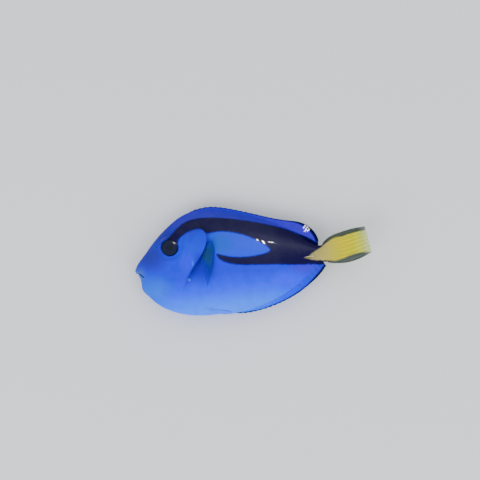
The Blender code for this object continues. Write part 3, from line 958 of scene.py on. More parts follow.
@dataclass
class BodySkin:
    """One skin over the head, gill covers, trunk and tail stalk, with no seam."""

    form: FishForm
    marks: Landmarks
    markings: Markings
    segments: int = 240
    rings: int = 270
    crowding: float = 1.3  # draws the rings together towards the snout
    end: float = 80.5
    end_blend: float = 70.5
    end_round: float = 0.5
    end_half_width: float = 0.1
    end_reach: float = 3.9
    back_sheath: float = 1.3
    belly_sheath: float = 1.04
    upturn: float = 1.1
    jaw_setback: float = 1.1
    chin: Point = (2.4, -7.2)
    chin_swell: float = 0.8
    lip_height: float = 0.3
    mouth_slit: float = 0.5
    gill_step: float = 0.5
    gill_hollow: float = 0.55
    cheek_swell: float = 0.1
    cheek_fold: float = 0.11
    socket_depth: float = 1.3
    socket_rim: float = 0.12
    # How far past the eye the black reaches: partly the black marking, partly painted shade of the socket.
    eye_rim: float = 0.25
    nostril_rim: float = 0.14
    nostril_depth: float = 0.3
    bead_height: float = 0.3
    fin_root_height: float = 0.35
    groove_depth: float = 0.4
    fin_room: float = 1.1

    def build(self) -> Any:
        """Models and dresses the skin.

        Returns:
            The skin's object.
        """
        deselect_all()
        bpy.ops.mesh.primitive_uv_sphere_add(segments=self.segments, ring_count=self.rings, radius=1.0)
        skin = bpy.context.object
        skin.name = "body_skin"
        self._refine(skin)
        s, t, n = self._wrapped(mesh_points(skin))
        plain = np.stack([s, t, n], axis=1)
        move_points(skin, plain)
        face_outwards(skin)
        relief, crease_shade = self._relief(s, t)
        raised = self._upturned(plain + point_normals(skin) * relief[:, None])
        placed = self.form.place(*raised.T)
        placed[:, 2] = self._pressed(s, t, placed[:, 2])
        move_points(skin, placed)
        self._mark(skin, s, t, crease_shade)
        face_outwards(skin)
        nodes = ("head", "torso", "tail_stalk", "gill_cover_left", "gill_cover_right")
        return finish_piece(skin, WetSkin().material(self.form), nodes)

    def _mark(self, skin: Any, s: Array, t: Array, crease_shade: Array) -> None:
        """Gives the skin the attributes of its markings, its painted shade and its wet places.

        Args:
            skin: The skin's object.
            s: The points' distances from the snout.
            t: Their heights.
            crease_shade: How much shade is painted on each, from 0 to 1.
        """
        from_eye = np.hypot(s - self.marks.eye[0], t - self.marks.eye[1])
        # The black reaches a little past the eye all round: partly the black marking, partly painted shade
        # of the socket.
        dark_ring_and_socket_shade = self.marks.eye_radius + self.eye_rim - from_eye
        set_attribute(skin, "black", np.maximum(self.markings.black_depth(s, t), dark_ring_and_socket_shade))
        set_attribute(skin, "oval", self.markings.oval_depth(s, t))
        set_attribute(skin, "wedge", self.markings.wedge_depth(s, t))
        set_attribute(skin, "crease_shade", crease_shade)
        # The film of mucus stays off the eye's surroundings, the rims of the body and the tail stalk.
        back, belly = self.form.profile(Measure.BACK, s), self.form.profile(Measure.BELLY, s)
        rim = np.minimum(back - t, t - belly)
        wet = smooth_step(s, 58.5, 55.0) * smooth_step(rim, 0.5, 3.0) * smooth_step(from_eye, 4.0, 8.0)
        set_attribute(skin, "wet", wet)

    def _refine(self, skin: Any) -> None:
        """Divides the faces near the mouth, eyes, nostrils and gill covers once more.

        Args:
            skin: The skin's object, which is still a ball.
        """
        s, t, _ = self._wrapped(mesh_points(skin))
        # Round the eye first, then the mouth, the nostrils and the edge of the gill cover.
        near = np.hypot(s - self.marks.eye[0], t - self.marks.eye[1]) < 5.0
        near |= (s < 4.2) & (np.abs(t + 1.6) < 3.4)
        for nostril_s, nostril_t, radius in self.marks.nostrils:
            near |= np.hypot(s - nostril_s, t - nostril_t) < radius + 0.9
        gill = PlaneCurve(self.marks.gill_line).sampled(60)
        near |= (np.abs(distance_to_line(s, t, gill)[0]) < 1.1) & (np.abs(t - 2) < 15)
        bm = bmesh.new()
        bm.from_mesh(skin.data)
        bm.verts.ensure_lookup_table()
        edges = [e for e in bm.edges if near[e.verts[0].index] and near[e.verts[1].index]]
        bmesh.ops.subdivide_edges(bm, edges=edges, cuts=1, use_grid_fill=True)
        bm.to_mesh(skin.data)
        bm.free()

    def _wrapped(self, ball: Array) -> tuple[Array, Array, Array]:
        """Wraps the points of a unit ball over the body.

        Args:
            ball: Points on a ball whose poles, along Z, become the snout and the tail.

        Returns:
            The points' s, t and n.
        """
        ball = ball / np.linalg.norm(ball, axis=1, keepdims=True)
        share = np.arccos(np.clip(ball[:, 2], -1, 1)) / math.pi
        turn = np.arctan2(ball[:, 1], ball[:, 0])
        s = self.end * share**self.crowding
        body = np.minimum(s, self.form.tail_root)
        back, belly = self.form.profile(Measure.BACK, body), self.form.profile(Measure.BELLY, body)
        middle, reach = (back + belly) / 2, (back - belly) / 2
        half = self.form.profile(Measure.HALF_WIDTH, body)
        past = np.clip((s - self.end_blend) / (self.end - self.end_blend), 0, 1)
        half = self.end_half_width + (half - self.end_half_width) * (1 - past**1.5) ** 2
        reach = reach + (self.end_reach - reach) * past**2
        rounding = ((s - self.end + self.end_round) / self.end_round).clip(0, 1)
        closing = np.sqrt(np.clip(1 - rounding**2, 0, 1))
        t = middle + reach * np.cos(turn) * closing
        n = half * np.sign(np.sin(turn)) * np.abs(np.sin(turn)) ** (2 * self.form.fullness) * closing
        # A low sheath of skin rises to the roots of the fins along the back and the belly.
        back_fin = smooth_step(s, 4.0, 20.0) * smooth_step(s, 71.0, 64.0)
        belly_fin = smooth_step(s, 32.0, 40.0) * smooth_step(s, 71.5, 67.0)
        t = t + self.back_sheath * back_fin * hump(turn, 0.19)
        t = t - self.belly_sheath * belly_fin * hump(math.pi - np.abs(turn), 0.15)
        return s, t, n

    def _upturned(self, points: Array) -> Array:
        """Turns the snout up a little and sets the lower jaw back behind the upper lip.

        Args:
            points: Rows of s, t and n.

        Returns:
            The moved rows.
        """
        s, t, n = points.T
        front = np.exp(-((np.clip(s, 0, None) / 2.4) ** 1.5))
        below = smooth_step(t, -0.4, -1.6)
        chin = hump(s - self.chin[0], 2.2) * hump(t - self.chin[1], 2.4)
        moved = s + self.jaw_setback * front * below - self.chin_swell * chin
        return np.stack([moved, t + self.upturn * front, n], axis=1)

    def _relief(self, s: Array, t: Array) -> tuple[Array, Array]:
        """How far the skin rises or sinks from the plain form, and how much shade is painted on it.

        Args:
            s: Distances from the snout.
            t: Heights.

        Returns:
            The height of each point, and its painted shade from 0 to 1.
        """
        plain = self._cheek(s, t) + self._eye_socket(s, t) + self._swellings(s, t)
        heights_and_shades = (self._mouth(s, t), self._gill_cover(s, t), self._nostrils(s, t), self._groove(s, t))
        heights, crease_shades = zip(*heights_and_shades)
        return plain + np.sum(heights, axis=0), np.max(crease_shades, axis=0)

    def _mouth(self, s: Array, t: Array) -> tuple[Array, Array]:
        """The lips above and below the slit between them, and the shade painted into the slit.

        Args:
            s: Distances from the snout.
            t: Heights.

        Returns:
            The height of each point, and its painted shade from 0 to 1.
        """
        front, corner = np.array([self.marks.mouth_front, self.marks.mouth_corner])
        length = float(np.linalg.norm(corner - front))
        way = (corner - front) / length
        along = (s - front[0]) * way[0] + (t - front[1]) * way[1]
        off = (t - front[1]) * way[0] - (s - front[0]) * way[1]
        mouth = smooth_step(along, length + 0.35, length - 0.7)
        taper = 1 - 0.45 * np.clip(along / length, 0, 1)
        lips = taper * self.lip_height * (hump(off - 0.75, 0.55) + hump(off + 0.72, 0.5))
        return mouth * (lips - self.mouth_slit * hump(off, 0.2)), mouth * 0.85 * hump(off, 0.22)

    def _gill_cover(self, s: Array, t: Array) -> tuple[Array, Array]:
        """The raised edge of the gill cover, the hollow behind it and the shade painted into that hollow.

        Args:
            s: Distances from the snout.
            t: Heights.

        Returns:
            The height of each point, and its painted shade from 0 to 1.
        """
        gap, _ = distance_to_line(s, t, PlaneCurve(self.marks.gill_line).sampled(80))
        ends = smooth_step(t, 18.5, 14.5) * smooth_step(t, -12.0, -6.0)
        cover = np.where(gap < 0, np.exp(gap / 3.2), 0.0)
        hollow = np.where(gap >= 0, hump(gap, 1.9), 0.0)
        shade = np.where(gap >= 0, hump(gap, 2.1), hump(gap, 0.3))
        dark = smooth_step(t, 11.0, 7.0) * smooth_step(t, -8.5, -2.0)
        return ends * (self.gill_step * cover - self.gill_hollow * hollow), 0.9 * shade * dark

    def _cheek(self, s: Array, t: Array) -> Array:
        """The fold of the cheek and the low swelling in front of it.

        Args:
            s: Distances from the snout.
            t: Heights.

        Returns:
            The height of each point.
        """
        gap, _ = distance_to_line(s, t, PlaneCurve(self.marks.cheek_line).sampled(60))
        ends = smooth_step(t, 14.5, 10.0) * smooth_step(t, -11.5, -6.0)
        return ends * (self.cheek_swell * hump(gap + 1.1, 0.9) - self.cheek_fold * hump(gap, 0.5))

    def _eye_socket(self, s: Array, t: Array) -> Array:
        """The skin that leans with the eye round it, the socket and its rim.

        Args:
            s: Distances from the snout.
            t: Heights.

        Returns:
            The height of each point.
        """
        marks = self.marks
        away = np.hypot(s - marks.eye[0], t - marks.eye[1])
        slope = self.form.normal(*marks.eye, Side.LEFT)
        tilt = (s - marks.eye[0]) * (slope.x / slope.z - marks.gaze[0])
        tilt = tilt + (t - marks.eye[1]) * (slope.y / slope.z - marks.gaze[1])
        lean = tilt * smooth_step(away, marks.eye_radius + 2.6, marks.eye_radius)
        socket = self.socket_depth * smooth_step(away, marks.eye_radius + 0.1, marks.eye_radius - 0.35)
        return lean - socket + self.socket_rim * hump(away - marks.eye_radius - 0.5, 0.5)

    def _nostrils(self, s: Array, t: Array) -> tuple[Array, Array]:
        """The two nostrils in front of the eye, each a hollow with a rim and shade painted into it.

        Args:
            s: Distances from the snout.
            t: Heights.

        Returns:
            The height of each point, and its painted shade from 0 to 1.
        """
        height, crease_shade = np.zeros(s.shape), np.zeros(s.shape)
        for nostril_s, nostril_t, size in self.marks.nostrils:
            away = np.hypot(s - nostril_s, t - nostril_t)
            pit_and_shade = hump(away, size * 0.6)
            height += self.nostril_rim * hump(away - size, 0.2) - self.nostril_depth * pit_and_shade
            crease_shade = np.maximum(crease_shade, pit_and_shade)
        return height, crease_shade

    def _groove(self, s: Array, t: Array) -> tuple[Array, Array]:
        """The groove that the tail spine lies in, and the shade painted into it.

        Args:
            s: Distances from the snout.
            t: Heights.

        Returns:
            The height of each point, and its painted shade from 0 to 1.
        """
        tip_s, tip_t = self.marks.spine_tip
        length = self.marks.spine_length
        groove = hump((s - tip_s - length / 2) / length, 0.55) * hump(t - tip_t, 0.42)
        return -self.groove_depth * groove, 0.35 * groove

    def _swellings(self, s: Array, t: Array) -> Array:
        """The bead under the gill cover and the fleshy root of the pectoral fin.

        Args:
            s: Distances from the snout.
            t: Heights.

        Returns:
            The height of each point.
        """
        bead = hump(np.hypot(s - self.marks.bead[0], t - self.marks.bead[1]), 0.4)
        root_s, root_t = np.mean(self.marks.pectoral_root, axis=0)
        root = hump(np.hypot((s - root_s) / 1.3, (t - root_t) / 1.9), 1.0)
        return self.bead_height * bead + self.fin_root_height * root

    def _pressed(self, s: Array, t: Array, z: Array) -> Array:
        """Presses the underside flat on the floor, and higher over the fin that lies under it.

        Args:
            s: Distances from the snout.
            t: Heights in the fish's frame.
            z: Heights over the floor, in metres.

        Returns:
            The heights after pressing, in metres.
        """
        fin = PectoralFin(self.form, marks=self.marks, side=Side.RIGHT)
        depth = depth_inside(s, t, fin.outline())
        floor = self.fin_room * MM * smooth_step(depth, -0.7, 0.0)
        pressed = np.maximum(z, floor)
        return np.where(z < self.form.mid_height * MM, pressed, z)


@dataclass
class Eye:
    """An eye: a flattened ball set in the head."""

    form: FishForm
    marks: Landmarks
    side: Side
    wall: float = 0.25  # the share of the radius in which the cornea's edge turns down
    back: float = 0.7

    def build(self) -> Any:
        """Models and dresses the eye.

        Returns:
            The eye's object.
        """
        marks = self.marks
        out = Vector((*marks.gaze, self.side.value)).normalized()
        deselect_all()
        bpy.ops.mesh.primitive_uv_sphere_add(segments=64, ring_count=48, radius=marks.eye_radius * MM)
        eye = bpy.context.object
        eye.name = f"eyeball_{self.side.word}"
        ball = mesh_points(eye)
        axis = np.hypot(ball[:, 0], ball[:, 1]) / MM
        rise = np.clip(ball[:, 2] / MM / marks.eye_radius, 0, 1)
        curve, edge = marks.cornea_radius, marks.eye_radius
        dome = np.sqrt(curve**2 - np.minimum(axis, edge) ** 2) - math.sqrt(curve**2 - edge**2)
        wall = marks.eye_depth - (curve - math.sqrt(curve**2 - edge**2))
        front = dome + wall * np.sqrt(1 - (1 - np.minimum(rise / self.wall, 1)) ** 2)
        behind = marks.eye_depth * self.back * ball[:, 2] / MM / marks.eye_radius
        ball[:, 2] = np.where(ball[:, 2] > 0, front, behind) * MM
        turned = ball @ np.array(out.to_track_quat("Z", "Y").to_matrix()).T
        skin = self.form.place(*marks.eye, self.side.value * self.form.flank(*marks.eye))
        move_points(eye, turned + skin - np.array(out) * marks.eye_sink * MM)
        set_attribute(eye, "axis", axis)
        eye.data.shade_smooth()
        return finish_piece(eye, DarkEye().material(), [f"eye_{self.side.word}"])


@dataclass
class FinSheet:
    """What every fin shares: a membrane on a middle surface, with rays and their branches.

    Across is the share of the way from the first ray to the last, and along from the root to the tips.
    """

    form: FishForm
    rays: int = 20
    rows: int = 24
    points_per_ray: int = 8
    root_thickness: float = 1.0
    ray_thickness: float = 0.46
    web_thickness: float = 0.2
    edge_thickness: float = 0.16
    taper: float = 0.35
    branch_from: float = 0.45

    def path(self, across: Array, along: Array) -> tuple[Array, Array, Array]:
        """The middle surface, which each fin has its own of."""
        raise NotImplementedError

    def ray_ridge(self, across: Array, along: Array) -> Array:
        """How near a point is to the middle of a ray. Rays branch in their outer part.

        Args:
            across: Shares of the way from the first ray to the last.
            along: Shares of the way from the root to the tips.

        Returns:
            The nearness of each point, from 0 to 1.
        """
        single = (0.5 - 0.5 * np.cos(2 * math.pi * self.rays * across)) ** 2
        double = (0.5 - 0.5 * np.cos(4 * math.pi * self.rays * across + math.pi)) ** 2
        outer = smooth_step(along, self.branch_from, self.branch_from + 0.3)
        return single * (1 - outer) + double * outer * 0.8

    def fleshy(self, along: Array) -> Array:
        """How fleshy a point is, from 1 at the root to 0 a third of the way along."""
        return smooth_step(along, 0.3, 0.0)

    def thickness(self, ridge: Array, along: Array) -> Array:
        """How thick the fin is: most at its root, more on its rays and least at its edge.

        Args:
            ridge: How near each point is to the middle of a ray.
            along: Shares of the way from the root to the tips.

        Returns:
            The thickness at each point.
        """
        thick = self.web_thickness + (self.ray_thickness - self.web_thickness) * ridge
        thick *= 1 - self.taper * along
        thick = thick + (self.root_thickness - thick) * self.fleshy(along)
        return thick + (self.edge_thickness - thick) * smooth_step(along, 0.9, 1.0)

    def sheet(self, name: str) -> Any:
        """Models the membrane.

        Args:
            name: The piece's name.

        Returns:
            The piece, a closed thin shell with the attributes that its finish reads.
        """
        deselect_all()
        columns = self.rays * self.points_per_ray
        bpy.ops.mesh.primitive_grid_add(x_subdivisions=columns, y_subdivisions=self.rows, size=1.0)
        fin = bpy.context.object
        fin.name = name
        shares = mesh_points(fin)
        across, along = shares[:, 0] + 0.5, shares[:, 1] + 0.5
        s, t, n = self.path(across, along)
        move_points(fin, self.form.place(s, t, n))
        ridge = self.ray_ridge(across, along)
        group = fin.vertex_groups.new(name="thickness")
        for index, value in enumerate(self.thickness(ridge, along) / self.root_thickness):
            group.add([index], float(min(value, 1.0)), "REPLACE")
        border = np.minimum(np.minimum(across, 1 - across) * 4, (1 - along) * 3)
        set_attribute(fin, "ray", ridge * (1 - 0.5 * self.fleshy(along)))
        set_attribute(fin, "root", self.fleshy(along))
        set_attribute(fin, "tip", smooth_step(along, 0.78, 0.97))
        set_attribute(fin, "border", smooth_step(border, 1.0, 0.0))
        set_attribute(fin, "far", self.far_share(across, along))
        self.mark(fin, s, t, across, along)
        shell = fin.modifiers.new("thickness", "SOLIDIFY")
        shell.thickness, shell.offset = self.root_thickness * MM, 0.0
        shell.vertex_group, shell.thickness_vertex_group = group.name, 0.0
        apply_modifiers(fin)
        face_outwards(fin)
        return fin

    def far_share(self, across: Array, along: Array) -> Array:
        """How much of the finish's far colour a point has. On a plain fin it grows towards the rear."""
        return smooth_step(across, 0.35, 0.9)

    def mark(self, fin: Any, s: Array, t: Array, across: Array, along: Array) -> None:
        """Gives the fin the attributes of its markings. A plain fin has none."""
        set_attribute(fin, "black", np.full(s.shape, OUTSIDE))
        set_attribute(fin, "wedge", np.full(s.shape, OUTSIDE))


@dataclass
class EdgeFin(FinSheet):
    """A fin along the back or the belly, half folded, with a dark edge."""

    node: str = "dorsal_fin"
    slot: str = "dorsal_fin"
    rim: Measure = Measure.BACK
    base: Point = (24.8, 70.2)
    edge: tuple[Point, ...] = field(kw_only=True)
    finish: FinSkin = field(kw_only=True)
    sink: float = 0.6
    margin: float = 0.3
    rear_margin: float = 1.25
    notch: float = 0.16
    ripple: float = 0.25
    waves: Point = (9.0, 2.2)  # radians over the fin's length and over its height
    wet_spot: Point = (68.7, 10.9)
    wet_radii: Point = (1.5, 1.9)

    @property
    def way(self) -> int:
        """The way out from the rim, along t."""
        return 1 if self.rim is Measure.BACK else -1

    def build(self) -> Any:
        """Models and dresses the fin.

        Returns:
            The fin's object.
        """
        fin = self.sheet(f"{self.node}_membrane")
        return finish_piece(fin, self.finish.material(self.form), [self.node])

    def path(self, across: Array, along: Array) -> tuple[Array, Array, Array]:
        """The middle surface, from under the skin out to the edge, with slack waves between spines.

        Args:
            across: Shares of the way from the first ray to the last.
            along: Shares of the way from the root to the tips.

        Returns:
            The s, t and n of each point.
        """
        root_s = self.base[0] + (self.base[1] - self.base[0]) * across
        root_t = self.form.profile(self.rim, root_s) - self.way * self.sink
        tip_s, tip_t = PlaneCurve(self.edge)(across)
        between = 0.5 + 0.5 * np.cos(2 * math.pi * self.rays * across)
        dip = self.notch * between * smooth_step(along, 0.6, 1.0) * smooth_step(across, 0.75, 0.35)
        s = root_s + (tip_s - root_s) * along
        t = root_t + (tip_t - root_t) * along - self.way * dip
        wave = np.sin(self.waves[0] * across + self.waves[1] * along)
        return s, t, self.ripple * along * wave * smooth_step(across, 0, 0.1)

    def mark(self, fin: Any, s: Array, t: Array, across: Array, along: Array) -> None:
        """Marks the dark edge, which widens towards the fin's rear end, and the wet spot.

        Args:
            fin: The fin's object.
            s: The points' distances from the snout.
            t: Their heights.
            across: Their shares of the way from the first ray to the last.
            along: Their shares of the way from the root to the tips.
        """
        gap = np.abs(distance_to_line(s, t, PlaneCurve(self.edge).sampled(90))[0])
        width = self.margin + (self.rear_margin - self.margin) * smooth_step(across, 0.72, 0.92)
        figure = Markings().black_depth(s, t)
        set_attribute(fin, "black", np.maximum(width - gap, figure))
        set_attribute(fin, "wedge", np.full(s.shape, OUTSIDE))
        off_s, off_t = s - self.wet_spot[0], t - self.wet_spot[1]
        reach = np.hypot(off_s / self.wet_radii[0], off_t / self.wet_radii[1])
        set_attribute(fin, "wet", smooth_step(reach, 1.0, 0.7))


@dataclass
class TailFin(FinSheet):
    """The tail fin, half folded into pleats."""

    upper: tuple[Point, ...] = (
        (75.3, 4.9), (76.7, 5.9), (79.0, 6.8), (82.0, 7.4), (86.0, 7.9), (91.2, 7.9),
    )
    lower: tuple[Point, ...] = (
        (75.5, -3.9), (76.7, -4.4), (79.0, -4.9), (82.0, -5.2), (86.0, -4.8), (92.4, -2.7),
    )
    start: float = 73.6
    start_reach: tuple[float, float] = (2.7, -2.5)
    rays: int = 16
    rows: int = 60
    root_thickness: float = 1.2
    notch: float = 0.15
    pleat: float = 0.1
    markings: Markings = field(default_factory=Markings)

    def build(self) -> Any:
        """Models and dresses the fin.

        Returns:
            The fin's object.
        """
        fin = self.sheet("tail_fin_membrane")
        finish = FinSkin(
            "half-clear tail fin",
            web="3A433C",
            ray="444C40",
            base="141436",
            far="48504A",
            tip_alpha=0.6,
        )
        return finish_piece(fin, finish.material(self.form), ["tail_fin"])

    def path(self, across: Array, along: Array) -> tuple[Array, Array, Array]:
        """The middle surface, from inside the stalk to the trailing edge.

        Args:
            across: Shares of the way from the first ray to the last.
            along: Shares of the way from the root to the tips.

        Returns:
            The s, t and n of each point.
        """
        top = PlaneCurve(((self.start, self.start_reach[0]), *self.upper))(along)
        foot = PlaneCurve(((self.start, self.start_reach[1]), *self.lower))(along)
        between = 0.5 + 0.5 * np.cos(2 * math.pi * self.rays * across)
        s = top[0] + (foot[0] - top[0]) * across - self.notch * between * smooth_step(along, 0.85, 1.0)
        t = top[1] + (foot[1] - top[1]) * across
        pleat = self.pleat * smooth_step(along, 0.2, 0.7)
        return s, t, pleat * np.sin(math.pi * self.rays * across + 0.4)

    def mark(self, fin: Any, s: Array, t: Array, across: Array, along: Array) -> None:
        """Marks the yellow wedge, which the dark upper and lower rays border."""
        set_attribute(fin, "black", np.full(s.shape, OUTSIDE))
        set_attribute(fin, "wedge", self.markings.wedge_depth(s, t))


@dataclass
class PectoralFin(FinSheet):
    """A pectoral fin, folded down the flank. On the right side it lies pressed under the fish."""

    marks: Landmarks = field(default_factory=Landmarks)
    side: Side = Side.LEFT
    rays: int = 14
    rows: int = 40
    points_per_ray: int = 6
    root_thickness: float = 0.75
    clearance: float = 0.42
    stand: float = 0.5
    floor_gap: float = 0.4

    def build(self) -> Any:
        """Models and dresses the fin.

        Returns:
            The fin's object.
        """
        fin = self.sheet(f"pectoral_membrane_{self.side.word}")
        finish = FinSkin(
            "folded pectoral fin",
            web="183F70",
            ray="123A68",
            base="07268E",
            far="0C20BC",
            border_alpha=0.25,
        )
        node = f"pectoral_fin_{self.side.word}"
        return finish_piece(fin, finish.material(self.form), [node])

    def plan(self, across: Any, along: Any) -> tuple[Array, Array]:
        """Where points of the fin lie over the flank.

        Args:
            across: Shares of the way from the first ray to the last.
            along: Shares of the way from the root to the tips.

        Returns:
            The s and t of each point.
        """
        across, along = np.asarray(across, float), np.asarray(along, float)
        tip = PlaneCurve(self.marks.pectoral_tip)(across)
        spots = []
        rest = 1 - along
        for i in (0, 1):
            root, bow = (
                first[i] * (1 - across) + last[i] * across
                for first, last in (self.marks.pectoral_root, self.marks.pectoral_bow)
            )
            spots.append(rest**2 * root + 2 * rest * along * bow + along**2 * tip[i])
        return spots[0], spots[1]

    def far_share(self, across: Array, along: Array) -> Array:
        """The far colour grows towards the tips and towards the first ray, at the rear edge."""
        return np.maximum(smooth_step(along, 0.62, 0.95), 0.6 * smooth_step(across, 0.45, 0.0))

    def outline(self) -> Array:
        """Goes round the fin: down its first ray, along its tips and back up its last ray.

        Returns:
            The outline's points in s and t.
        """
        share = np.linspace(0, 1, 12)
        whole, none = np.ones(12), np.zeros(12)
        sides = [
            self.plan(none, share),
            self.plan(share, whole),
            self.plan(whole, 1 - share),
            self.plan(1 - share, none),
        ]
        return np.concatenate([np.stack(side, axis=1)[:-1] for side in sides])

    def path(self, across: Array, along: Array) -> tuple[Array, Array, Array]:
        """The middle surface, close over the flank, or pressed flat under it on the right side.

        Args:
            across: Shares of the way from the first ray to the last.
            along: Shares of the way from the root to the tips.

        Returns:
            The s, t and n of each point.
        """
        s, t = self.plan(across, along)
        clear = self.form.stand_off(s, t, self.clearance) + self.stand * along**2
        if self.side is Side.RIGHT:
            clear = np.minimum(clear, self.form.mid_height - self.floor_gap)
        return s, t, self.side.value * clear


@dataclass
class PelvicFin(FinSheet):
    """A pelvic fin folded back along the keel of the belly."""

    side: Side = Side.LEFT
    rays: int = 4
    rows: int = 30
    root_thickness: float = 0.7
    root: tuple[Point, Point] = ((24.6, -18.3), (25.4, -17.1))
    tip: tuple[Point, Point] = ((36.0, -19.75), (35.4, -19.1))
    clearance: float = 0.26
    tuck: float = 0.4

    def build(self) -> Any:
        """Models and dresses the fin.

        Returns:
            The fin's object.
        """
        fin = self.sheet(f"pelvic_membrane_{self.side.word}")
        finish = FinSkin("folded pelvic fin", web="2E72FF", ray="286CF8", base="2E72FF", far="2A6EFC")
        return finish_piece(fin, finish.material(self.form), [f"pelvic_fin_{self.side.word}"])

    def path(self, across: Array, along: Array) -> tuple[Array, Array, Array]:
        """The middle surface, straight from the first ray to the last, close along the keel.

        Args:
            across: Shares of the way from the first ray to the last.
            along: Shares of the way from the root to the tips.

        Returns:
            The s, t and n of each point.
        """
        rays = []
        for near, far in zip(self.root, self.tip):
            s, t = (near[i] + (far[i] - near[i]) * along for i in (0, 1))
            clear = self.form.stand_off(s, t, self.clearance)
            rays.append((s, t, np.maximum(clear, self.clearance) - self.tuck * (1 - along) ** 2))
        first, last = rays
        s, t, n = (a + (b - a) * across for a, b in zip(first, last))
        return s, t, self.side.value * n


@dataclass
class TailSpine:
    """The sharp spine in its groove on the tail stalk, pointing forward."""

    form: FishForm
    marks: Landmarks
    side: Side
    height: float = 0.48
    thickness: float = 0.36
    point: float = 0.06
    bow: float = 0.2
    sink: float = 0.05

    def build(self) -> Any:
        """Models and dresses the spine.

        Returns:
            The spine's object.
        """
        deselect_all()
        bpy.ops.mesh.primitive_cylinder_add(vertices=24, radius=1.0, depth=1.0)
        spine = bpy.context.object
        spine.name = f"tail_spine_blade_{self.side.word}"
        bpy.ops.object.mode_set(mode="EDIT")
        bpy.ops.mesh.select_all(action="SELECT")
        bpy.ops.mesh.bisect(plane_co=(0, 0, 0), plane_no=(0, 0, 1))
        bpy.ops.object.mode_set(mode="OBJECT")
        bm = bmesh.new()
        bm.from_mesh(spine.data)
        lengthwise = [e for e in bm.edges if abs(e.verts[0].co.z - e.verts[1].co.z) > 0.3]
        bmesh.ops.subdivide_edges(bm, edges=lengthwise, cuts=6)
        bm.to_mesh(spine.data)
        bm.free()
        ball = mesh_points(spine)
        share = ball[:, 2] + 0.5
        taper = self.point + (1 - self.point) * (1 - share) ** 0.7
        tip_s, tip_t = self.marks.spine_tip
        s = tip_s + self.marks.spine_length * (1 - share)
        t = tip_t + ball[:, 1] * self.height * taper
        bow = self.bow * np.sin(math.pi * share)
        n = self.form.flank(s, tip_t) + ball[:, 0] * self.thickness * taper - self.sink + bow
        move_points(spine, self.form.place(s, t, self.side.value * n))
        face_outwards(spine)
        finish = HornSpine().material()
        return finish_piece(spine, finish, [f"tail_spine_{self.side.word}"])


class LampUse(Enum):
    """What a lamp does for the picture."""

    LIGHT = "lights every surface and is mirrored in none"
    GLINT = "is only mirrored, in every wet surface"
    FIN_GLINT = "is only mirrored, in the dorsal fin alone"


@dataclass(frozen=True)
class Lamp:
    """A round or oval lamp that faces the fish. Places and sizes are metres, and the power is watts."""

    name: str
    spot: tuple[float, float, float]
    size: Point
    power: float
    use: LampUse = LampUse.GLINT


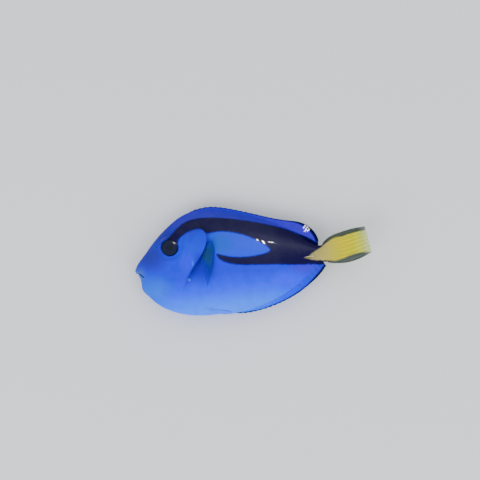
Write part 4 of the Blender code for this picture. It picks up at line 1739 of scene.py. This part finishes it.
@dataclass
class Studio:
    """The pale floor, the lights and the camera over the fish. Its fin is the dorsal fin's object."""

    form: FishForm
    fin: Any
    lamps: tuple[Lamp, ...] = (
        Lamp("low left", (-0.75, -0.8, 0.75), (1.0, 1.0), 13.0, LampUse.LIGHT),
        Lamp("low right", (0.5, -0.9, 0.7), (1.0, 1.0), 8.5, LampUse.LIGHT),
        Lamp("first sparkle", (0.3095, 0.680, 0.944), (0.004, 0.05), 2.0),
        Lamp("second sparkle", (0.3435, 0.634, 0.961), (0.006, 0.09), 4.5),
        Lamp("third sparkle", (0.3665, 0.652, 0.942), (0.003, 0.03), 0.2),
        Lamp("eye sparkle", (0.440, 0.510, 0.730), (0.1, 0.1), 5.0),
        Lamp("fin sparkle", (0.080, 0.380, 1.140), (0.2, 0.2), 16.0, LampUse.FIN_GLINT),
    )
    sky: str = "E8EEF6"
    sky_strength: float = 1.3
    elevation: float = 75.0
    azimuth: float = -6.26
    distance_m: float = 0.40
    frame_width: float = 190.6
    aim: Point = (42.1, 9.4)
    floor: str = "D9DADB"

    def build(self) -> None:
        """Sets up the whole studio."""
        self._floor()
        self._lights()
        self._camera()

    def _floor(self) -> None:
        """A wide matt floor under the fish."""
        deselect_all()
        bpy.ops.mesh.primitive_plane_add(size=6.0, location=(0, 0, -0.0001))
        floor = bpy.context.object
        floor.name = "floor"
        made, _, shader = new_material("matt studio floor")
        shader.inputs["Base Color"].default_value = linear(self.floor)
        set_inputs(shader, {"Roughness": 0.85})
        floor.data.materials.append(made)

    def _lights(self) -> None:
        """Two broad lamps, the small ones that only glint, and a pale sky all round."""
        for lamp in self.lamps:
            self._hang(lamp)
        world = bpy.data.worlds.new("pale room")
        world.use_nodes = True
        sky = world.node_tree.nodes["Background"]
        sky.inputs["Color"].default_value = linear(self.sky)
        sky.inputs["Strength"].default_value = self.sky_strength
        bpy.context.scene.world = world

    def _hang(self, lamp: Lamp) -> None:
        """Hangs one lamp, level and turned to the fish.

        Args:
            lamp: What it is and what it does.
        """
        data = bpy.data.lights.new(lamp.name, "AREA")
        data.shape, data.size, data.size_y, data.energy = "ELLIPSE", *lamp.size, lamp.power
        holder = bpy.data.objects.new(lamp.name, data)
        holder.location = lamp.spot
        away = Vector(lamp.spot).normalized()
        level = (Vector((1, 0, 0)) - away * away.x).normalized()
        holder.rotation_euler = Matrix((level, away.cross(level), away)).transposed().to_euler()
        holder.visible_diffuse = lamp.use is LampUse.LIGHT
        holder.visible_glossy = lamp.use is not LampUse.LIGHT
        bpy.context.scene.collection.objects.link(holder)
        if lamp.use is LampUse.FIN_GLINT:
            lit = bpy.data.collections.new(f"lit by the {lamp.name}")
            lit.objects.link(self.fin)
            holder.light_linking.receiver_collection = lit

    def _camera(self) -> None:
        """A camera that looks steeply down on the fish's left side."""
        data = bpy.data.cameras.new("camera")
        data.angle = 2 * math.atan(self.frame_width * MM / 2 / self.distance_m)
        data.clip_start = 0.01
        camera = bpy.data.objects.new("camera", data)
        turn, dip = math.radians(self.azimuth), math.radians(self.elevation)
        level = math.cos(dip)
        ahead = Vector((-math.sin(turn) * level, math.cos(turn) * level, -math.sin(dip)))
        target = Vector(self.form.place(*self.aim, 0.0).tolist())
        camera.location = target - ahead * self.distance_m
        camera.rotation_euler = ahead.to_track_quat("-Z", "Y").to_euler()
        bpy.context.scene.collection.objects.link(camera)
        bpy.context.scene.camera = camera


def main() -> None:
    """Builds the fish and the studio in order."""
    logging.basicConfig(level=logging.INFO)
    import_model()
    form, marks, markings = FishForm(), Landmarks(), Markings()
    dorsal = EdgeFin(
        form,
        rays=28,
        base=(20.4, 72.4),
        edge=(
            (21.0, 21.4), (23.6, 23.2), (27.2, 24.2), (31.4, 24.5), (36.0, 23.8), (42.0, 22.0),
            (49.0, 19.5), (56.0, 16.9), (61.5, 15.3), (66.5, 13.9), (69.8, 11.7), (71.9, 8.8),
            (72.9, 5.9),
        ),
        finish=FinSkin(
            "dorsal fin skin", web="221EB4", ray="1E1AAE", base="1C1AB4", far="341EB8", film=0.45
        ),
    )
    anal = EdgeFin(
        form,
        rays=21,
        node="anal_fin",
        slot="lower_fins",
        rim=Measure.BELLY,
        base=(33.0, 73.4),
        edge=(
            (36.0, -19.5), (39.4, -20.1), (44.0, -20.0), (50.0, -19.0), (56.0, -17.3),
            (62.0, -14.8), (67.4, -11.5), (71.9, -8.0), (74.5, -5.2),
        ),
        margin=0.5,
        rear_margin=0.95,
        finish=FinSkin(
            "anal fin skin",
            ray="0A3AEC",
            shades=(
                (33.0, "1C6CFF"), (46.0, "1062FF"), (54.0, "0C48FC"), (60.0, "0A2CF4"),
                (66.0, "1024E0"), (71.0, "2422C0"), (75.0, "26249A"),
            ),
            black="060A2C",
            ray_share=0.5,
            edge_soft=0.45,
        ),
    )
    BodySkin(form, marks, markings).build()
    fin = dorsal.build()
    anal.build()
    TailFin(form, markings=markings).build()
    for side in Side:
        Eye(form, marks, side).build()
        PectoralFin(form, marks=marks, side=side).build()
        PelvicFin(form, side=side).build()
        TailSpine(form, marks, side).build()
    Studio(form, fin).build()


if __name__ == "__main__":
    main()
